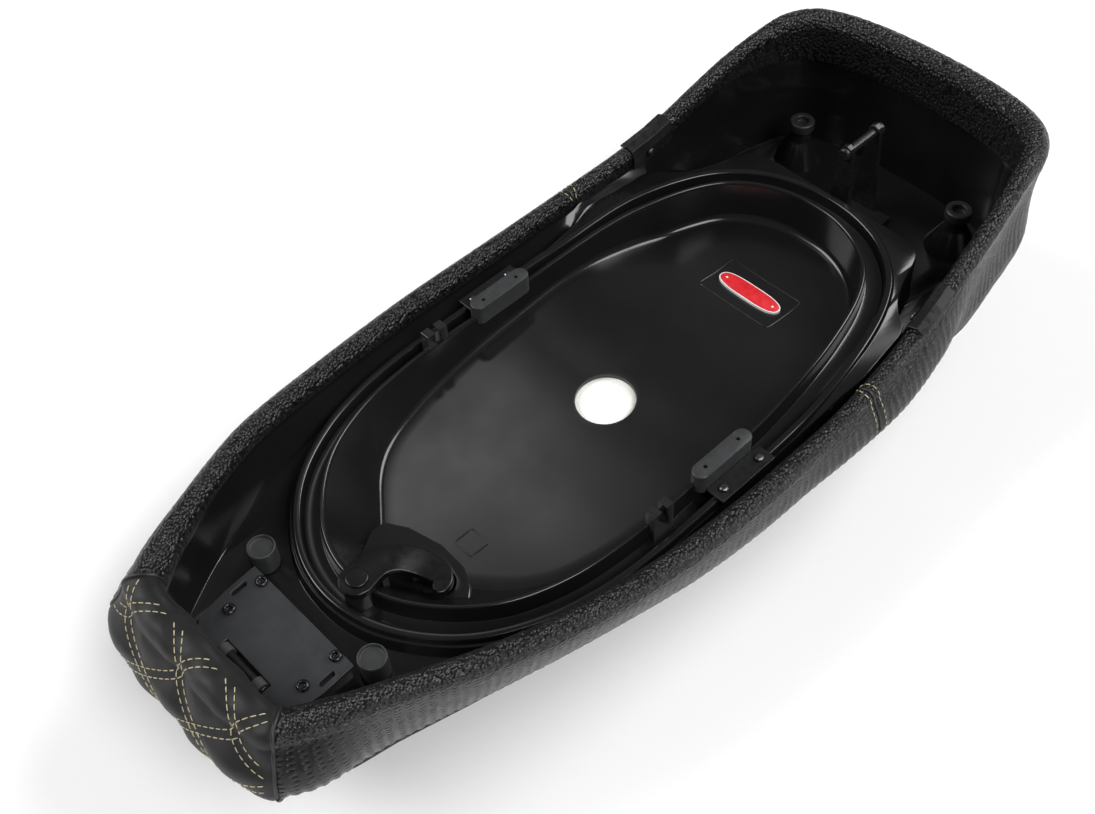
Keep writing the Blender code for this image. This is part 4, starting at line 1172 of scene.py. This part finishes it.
def outline_ring(name, x0, x1, y0, y1, corner):
    """A thin moulded line round a rectangle on the tub's floor."""
    left, right, front, back = x0 + corner, x1 - corner, y0 + corner, y1 - corner
    flat = np.array(corner_arcs(((right, back, corner), (left, back, corner),
                                 (left, front, corner), (right, front, corner)), 6))
    dense = []
    for a, b in zip(flat, np.roll(flat, -1, axis=0)):
        count = max(1, int(np.linalg.norm(b - a) / 2.0))
        dense += [a + (b - a) * k / count for k in range(count)]
    x, y = np.array(dense).T
    return tube(name, joined((x, y), floor_z(x, y) + 0.05), 0.5, plastic, sides=8, closed=True)


def make_side_tabs():
    """The slotted tabs beside the tub and the posts under the rear stops."""
    made = []
    post = ((19, SHELF_Z - 1.2), (17.5, SHELF_Z + 1.5), (10.5, -19), (8, -15), (7, -CAP_H - GAP))
    for side, _ in SIDES:
        tab = box("tab", side * 94.0, side * 101.0, 165, 181, -14.6, 10.5, plastic, 0.7)
        slot = box("tab_slot", side * 92.0, side * 103.0, 171, 175, 2.0, 14.0, plastic)
        made += [cut(tab, [slot]),
                 turned("post", (side * POST_X, POST_Y, 0), post, plastic, radius=1.5)]
    return made


def make_base():
    turn = np.arange(BASE_COLUMNS) / BASE_COLUMNS
    rings = filleted(base_rings(turn), 1.1, skip=11)
    base = loft("base_shell", rings, plastic, closed_rows=True)
    window = ((-23.5, 513.5), (-13, 514), (-12.5, 502.5))
    cut(base, [prism("shelf_window", window, SHELF_Z - 8, SHELF_Z + 6, plastic)])
    details = [
        outline_ring("badge_frame", -27, 33, 345, 380, 3.0),
        outline_ring("square_mark", 9.5, 24.5, 91, 105, 1.2),
        box("catch_tab", 3.5, 17, 34.5, 38.5, -14.0, HOOK_Z - 0.5, plastic, 0.6),
    ]
    parts = [base, *make_hook_bay(), make_deck(), *make_side_tabs(), *details]
    belongs(merged("moulded_base", parts), "saddle", "base_plastic", "seat_base")


def make_foam():
    turn = np.arange(2 * CAD_COLUMNS) / (2 * CAD_COLUMNS)
    face, shoulder, crest = rim_foot(turn)
    reach = -face - 0.5
    middle = floor_z(0.0, CENTRE_Y) - WALL - GAP
    rows = [joined((HOLE_R * share * np.sin(math.tau * turn),
                    CENTRE_Y - HOLE_R * share * np.cos(math.tau * turn)),
                   middle + 1.6 * (1 - share * share)) for share in (0.0, 0.25, 0.5, 0.75)]
    rows += under_rings(turn, GAP)[::-1]
    rows += level_rings(turn, (rim, face + WALL + GAP, shoulder - 1.5),
                        (rim, face + WALL + GAP, crest + 0.5))
    for a in (math.pi / 2, math.pi / 4, 0.0):
        rows.append(joined(rim.off(turn, reach * math.cos(a)), crest + reach * math.sin(a)))
    body = skin_rows(turn)
    closed = np.concatenate((body, body[:, :1]), axis=1)
    under_skin = SKIN + GAP + 0.6
    inset = (closed - under_skin * grid_normals(closed))[:, :-1]
    rows += [inset[i] for i in (*range(FOLD_ROWS + ROLL_ROWS + 4, SEAM_ROW, 4),
                                *range(SEAM_ROW, len(body) - 1, 4))]
    rows.append(body[-1] + (0.0, 0.0, under_skin))
    foam = loft("foam_core", rows, foam_white, caps=(False, False), angle=60)
    belongs(foam, "saddle", "soft_foam", "foam_cushion")


make_base()
make_foam()


# ---- fittings ----

def make_plate():
    half = ((20, -47), (20, -55), (38, -55), (42.5, -50), (45, -30), (45, -9))
    plate = prism("hinge_plate_sheet", mirrored(half), lambda x, y: plate_top(x, y) - PLATE_T,
                  plate_top, plate_paint)
    cuts = []
    for side, _ in SIDES:
        cuts += [turned("hole", (side * x, y, 0), ((2.2, -20), (2.2, 10)), plate_paint, steps=32,
                        radius=0) for x, y in PLATE_HOLES]
        cuts.append(prism("slot", round_ended(side * 40.0, -24, 10.5, 3.0), -20, 10, plate_paint))
    cut(plate, cuts)
    belongs(soften(plate, 0.45, 3, 40), "saddle", "plate_steel", "hinge_plate")
    for side, word in SIDES:
        for (x, y), end in zip(PLATE_HOLES, ("rear", "front")):
            z = plate_top(x, y)
            profile = ((0, -8.2), (1.7, -8.2), (1.7, 0.4), (3.7, 0.4), (3.75, 0.9), (3.0, 1.75),
                       (2.2, 1.95), (1.5, 1.0), (1.4, 0.1), (0, 0.1))
            screw = turned(f"plate_bolt_{end}_{word}", (side * x, y, z), profile, black_zinc,
                           steps=36, radius=0.25)
            belongs(screw, "saddle", "bright_steel", f"plate_screw_{end}_{word}")
    pin_z = plate_top(0, -51.5) - 1.6
    pin = turned("hinge_rod", (0, -51.4, pin_z),
                 ((0, -19.6), (2.4, -19.6), (2.8, -19.2), (2.8, 19.2), (2.4, 19.6), (0, 19.6)),
                 dark_steel, "X", 32, 0.2)
    belongs(pin, "saddle", "bright_steel", "hinge_pin")
    for side, word in SIDES:
        ring = ((3.15, -3.2), (4.2, -3.2), (4.2, 3.2), (3.15, 3.2), (3.15, -3.2))
        bush = turned(f"bush_{word}", (side * 15.0, -51.4, pin_z), ring, nylon, "X", 32, 0)
        belongs(bush, "saddle", "black_rubber", f"hinge_bush_{word}")


def make_stops():
    low, high = GUTTER_Z + GAP, GUTTER_Z + BUMPER_H
    cup = ((0, low), (BUMPER_R - 0.6, low), (BUMPER_R, low + 0.8), (BUMPER_R, high - 0.8),
           (BUMPER_R - 0.5, high), (BUMPER_R - 1.1, high), (BUMPER_R - 1.6, high - 2.0),
           (5.0, high - 2.2), (0, high - 2.0))
    cap = ((0, -CAP_H), (CAP_R - 0.8, -CAP_H), (CAP_R, -CAP_H + 0.8), (CAP_R, -0.9),
           (CAP_R - 0.9, 0), (5.2, 0), (4.6, -0.6), (4.6, -4.0), (0, -4.0))
    for side, word in SIDES:
        for end, x, y, profile, finish_used, radius in (
                ("front", BUMPER_X, 0, cup, pad_rubber, 0.4),
                ("rear", POST_X, POST_Y, cap, rubber, 0.5)):
            stop = turned(f"{end}_stop_{word}", (side * x, y, 0), profile, finish_used,
                          radius=radius)
            belongs(stop, "saddle", "black_rubber", f"{end}_bumper_{word}")


def make_hook():
    heel = ((-10.6, 3.2), (-8.8, 6.8), (-5.4, 9.6))
    stations = [(HOOK_AT[0], HOOK_AT[1] + back, half) for back, half in heel]
    line = np.array((HOOK_LINE[0], *HOOK_LINE, HOOK_LINE[-1]), float)
    for k in range(len(HOOK_LINE) - 1):
        stations += [tuple(catmull(*line[k:k + 4], t)) for t in (0.0, 0.25, 0.5, 0.75)]
    stations += [HOOK_LINE[-1], (HOOK_LINE[-1][0] + 0.2, HOOK_LINE[-1][1] - 1.8, 2.2)]
    rows = []
    upper, lower = 1.3, 0.6
    for i, (x, y, half) in enumerate(stations):
        ax, ay, _ = stations[max(i - 1, 0)]
        bx, by, _ = stations[min(i + 1, len(stations) - 1)]
        length = math.dist((ax, ay), (bx, by))
        nx, ny = -(by - ay) / length, (bx - ax) / length
        low = HOOK_Z - 6.0 * float(smooth((math.dist((x, y), HOOK_AT) - 20) / 26))
        section = corner_arcs(((half - upper, HOOK_T - upper, upper),
                               (upper - half, HOOK_T - upper, upper),
                               (lower - half, lower, lower), (half - lower, lower, lower)), 4)
        rows.append([(x + nx * u, y + ny * u, low + z) for u, z in section])
    hook = loft("bag_hook", rows, hook_enamel, angle=40)
    cut(hook, [turned("bore", (*HOOK_AT, 0), ((2.9, -8), (2.9, 12)), hook_enamel, steps=28,
                      radius=0)])
    belongs(hook, "hook", "hook_steel", "swing_hook")
    rivet = turned("hook_rivet", (*HOOK_AT, HOOK_Z + HOOK_T),
                   ((0, -16), (2.55, -16), (2.55, GAP), (6.6, GAP), (6.6, 1.1), (6.0, 1.6),
                    (0, 1.7)), hook_enamel, steps=48, radius=0.4)
    belongs(rivet, "saddle", "hook_steel", "hook_pin")


def make_side_pads():
    for side, word in SIDES:
        outline = round_ended(side * (PAD_X + 0.25), PAD_Y, 47.5, 11.5)
        pad = prism(f"tub_pad_{word}", outline, -6.05, PAD_TOP, pad_rubber, 1.0)
        holes = [turned("hole", (side * PAD_X, y, 0), ((1.3, 2), (1.3, 12)), pad_rubber,
                        steps=16, radius=0) for y in (213.3, 241.8)]
        cut(pad, holes)
        belongs(pad, "saddle", "black_rubber", f"side_pad_{word}")


def lens(x, y, length, width, steps=24):
    """Outline of a plain tag with blunt ends, long in X."""
    a = np.arange(2 * steps) * math.pi / steps
    c, d = np.cos(a), np.sin(a)
    return np.column_stack((x + length / 2 * np.sign(c) * np.abs(c) ** 0.65,
                            y + width / 2 * np.sign(d) * np.abs(d) ** 0.8))


def make_label():
    def top(x, y):
        return badge_level(y) + 0.75

    back = prism("label_border", lens(3.0, 362.5, 50.6, 14.8), lambda x, y: floor_z(x, y) - 0.4,
                 lambda x, y: top(x, y) - 0.2, label_white, 0.2)
    face = prism("label_face", lens(3.0, 362.5, 49.2, 13.2), lambda x, y: top(x, y) - 0.6, top,
                 label_red, 0.25)
    dots = [turned("dot", (3.0 + side * 20.0, 362.5, badge_level(362.5)),
                   ((0, 0.3), (0.9, 0.3), (0.8, 0.95), (0, 1.05)), label_white, steps=20,
                   radius=0.1) for side in (-1, 1)]
    belongs(merged("label_border", [back, *dots]), "saddle", "badge_red")
    belongs(face, "saddle", "badge_red", "badge")


def dress(node, material, width):
    """A better finish and soft edges on a CAD node that stays."""
    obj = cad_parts[node]
    obj.data.materials.clear()
    obj.data.materials.append(material)
    obj.data.shade_flat()
    obj.modifiers.new("weld", "WELD").merge_threshold = 1e-5
    flat = obj.modifiers.new("flat", "DECIMATE")
    flat.decimate_type, flat.angle_limit = "DISSOLVE", math.radians(1.0)
    edge = obj.modifiers.new("edges", "BEVEL")
    edge.width, edge.segments, edge.limit_method = width * 0.001, 2, "ANGLE"
    edge.angle_limit = math.radians(40)


make_plate()
make_stops()
make_hook()
make_side_pads()
make_label()

for _, side in SIDES:
    for kept, finish_used, edge in (
            ("rim_clip", dark_steel, 0.25), ("clip_screw", zinc, 0.15),
            ("pad_bracket", dark_steel, 0.25), ("bracket_screw_front", zinc, 0.12),
            ("bracket_screw_rear", zinc, 0.12), ("striker_bolt", dark_steel, 0.2)):
        dress(f"{kept}_{side}", finish_used, edge)
dress("striker_bracket", dark_steel, 0.4)
dress("striker_rod", dark_steel, 0.2)


# ---- floor, light and camera ----

def make_stage():
    """A wide sheet of pale paper."""
    half = 25.0
    mesh = bpy.data.meshes.new("floor")
    corners = [(x * half, y * half, 0) for x, y in ((-1, -1), (1, -1), (1, 1), (-1, 1))]
    mesh.from_pydata(corners, [], [(0, 1, 2, 3)])
    paper = finish("studio_paper", (0.96, 0.96, 0.96), (0.98, 0.98, 0.98), (3.0,), (0.3, 0.7),
                   (0.8,))
    linked("studio_floor", mesh, paper)


def make_light(name, at, toward, size, watts):
    lamp = bpy.data.lights.new(name, "AREA")
    lamp.shape, lamp.size, lamp.size_y, lamp.energy = "RECTANGLE", *size, watts
    aim(name, lamp, at, toward)


def make_sun(name, way, strength, angle):
    """A broad distant light that shines from a direction."""
    lamp = bpy.data.lights.new(name, "SUN")
    lamp.energy, lamp.angle = strength, math.radians(angle)
    aim(name, lamp, way, (0, 0, 0))


def aim(name, lamp, at, toward):
    obj = linked(name, lamp)
    obj.location = at
    obj.rotation_mode = "QUATERNION"
    obj.rotation_quaternion = (Vector(toward) - Vector(at)).to_track_quat("-Z", "Y")


def make_studio():
    world = bpy.data.worlds.new("studio")
    bpy.context.scene.world = world
    world.use_nodes = True
    sky = world.node_tree.nodes["Background"]
    sky.inputs["Color"].default_value = (1, 1, 1, 1)
    sky.inputs["Strength"].default_value = 0.14
    make_light("softbox", (-0.705, 0.32, 1.34), (-0.03, -0.058, 0.06), (0.2, 0.08), 0.2)
    make_sun("right", (0.75, -0.05, 0.8), 2.0, 34)
    make_sun("rear", (0.25, 0.9, 0.75), 2.0, 34)
    make_sun("left", (-0.8, -0.55, 0.7), 1.8, 34)
    bpy.context.scene.view_settings.view_transform = "Standard"


def make_camera():
    camera = bpy.data.cameras.new("camera")
    camera.sensor_fit, camera.sensor_width, camera.lens = "HORIZONTAL", 36.0, 46.03
    camera.clip_start, camera.clip_end = 0.05, 60.0
    obj = linked("camera", camera)
    ahead = Vector((-0.4766, 0.4188, -0.7729)).normalized()
    right = Vector((0.693, 0.72, -0.0371))
    right = (right - right.dot(ahead) * ahead).normalized()
    up = right.cross(ahead)
    turn = Matrix((right, up, -ahead)).transposed().to_4x4()
    obj.matrix_world = Matrix.Translation((0.3990, -0.40245, 0.749925)) @ turn
    bpy.context.scene.camera = obj


make_stage()
make_studio()
make_camera()
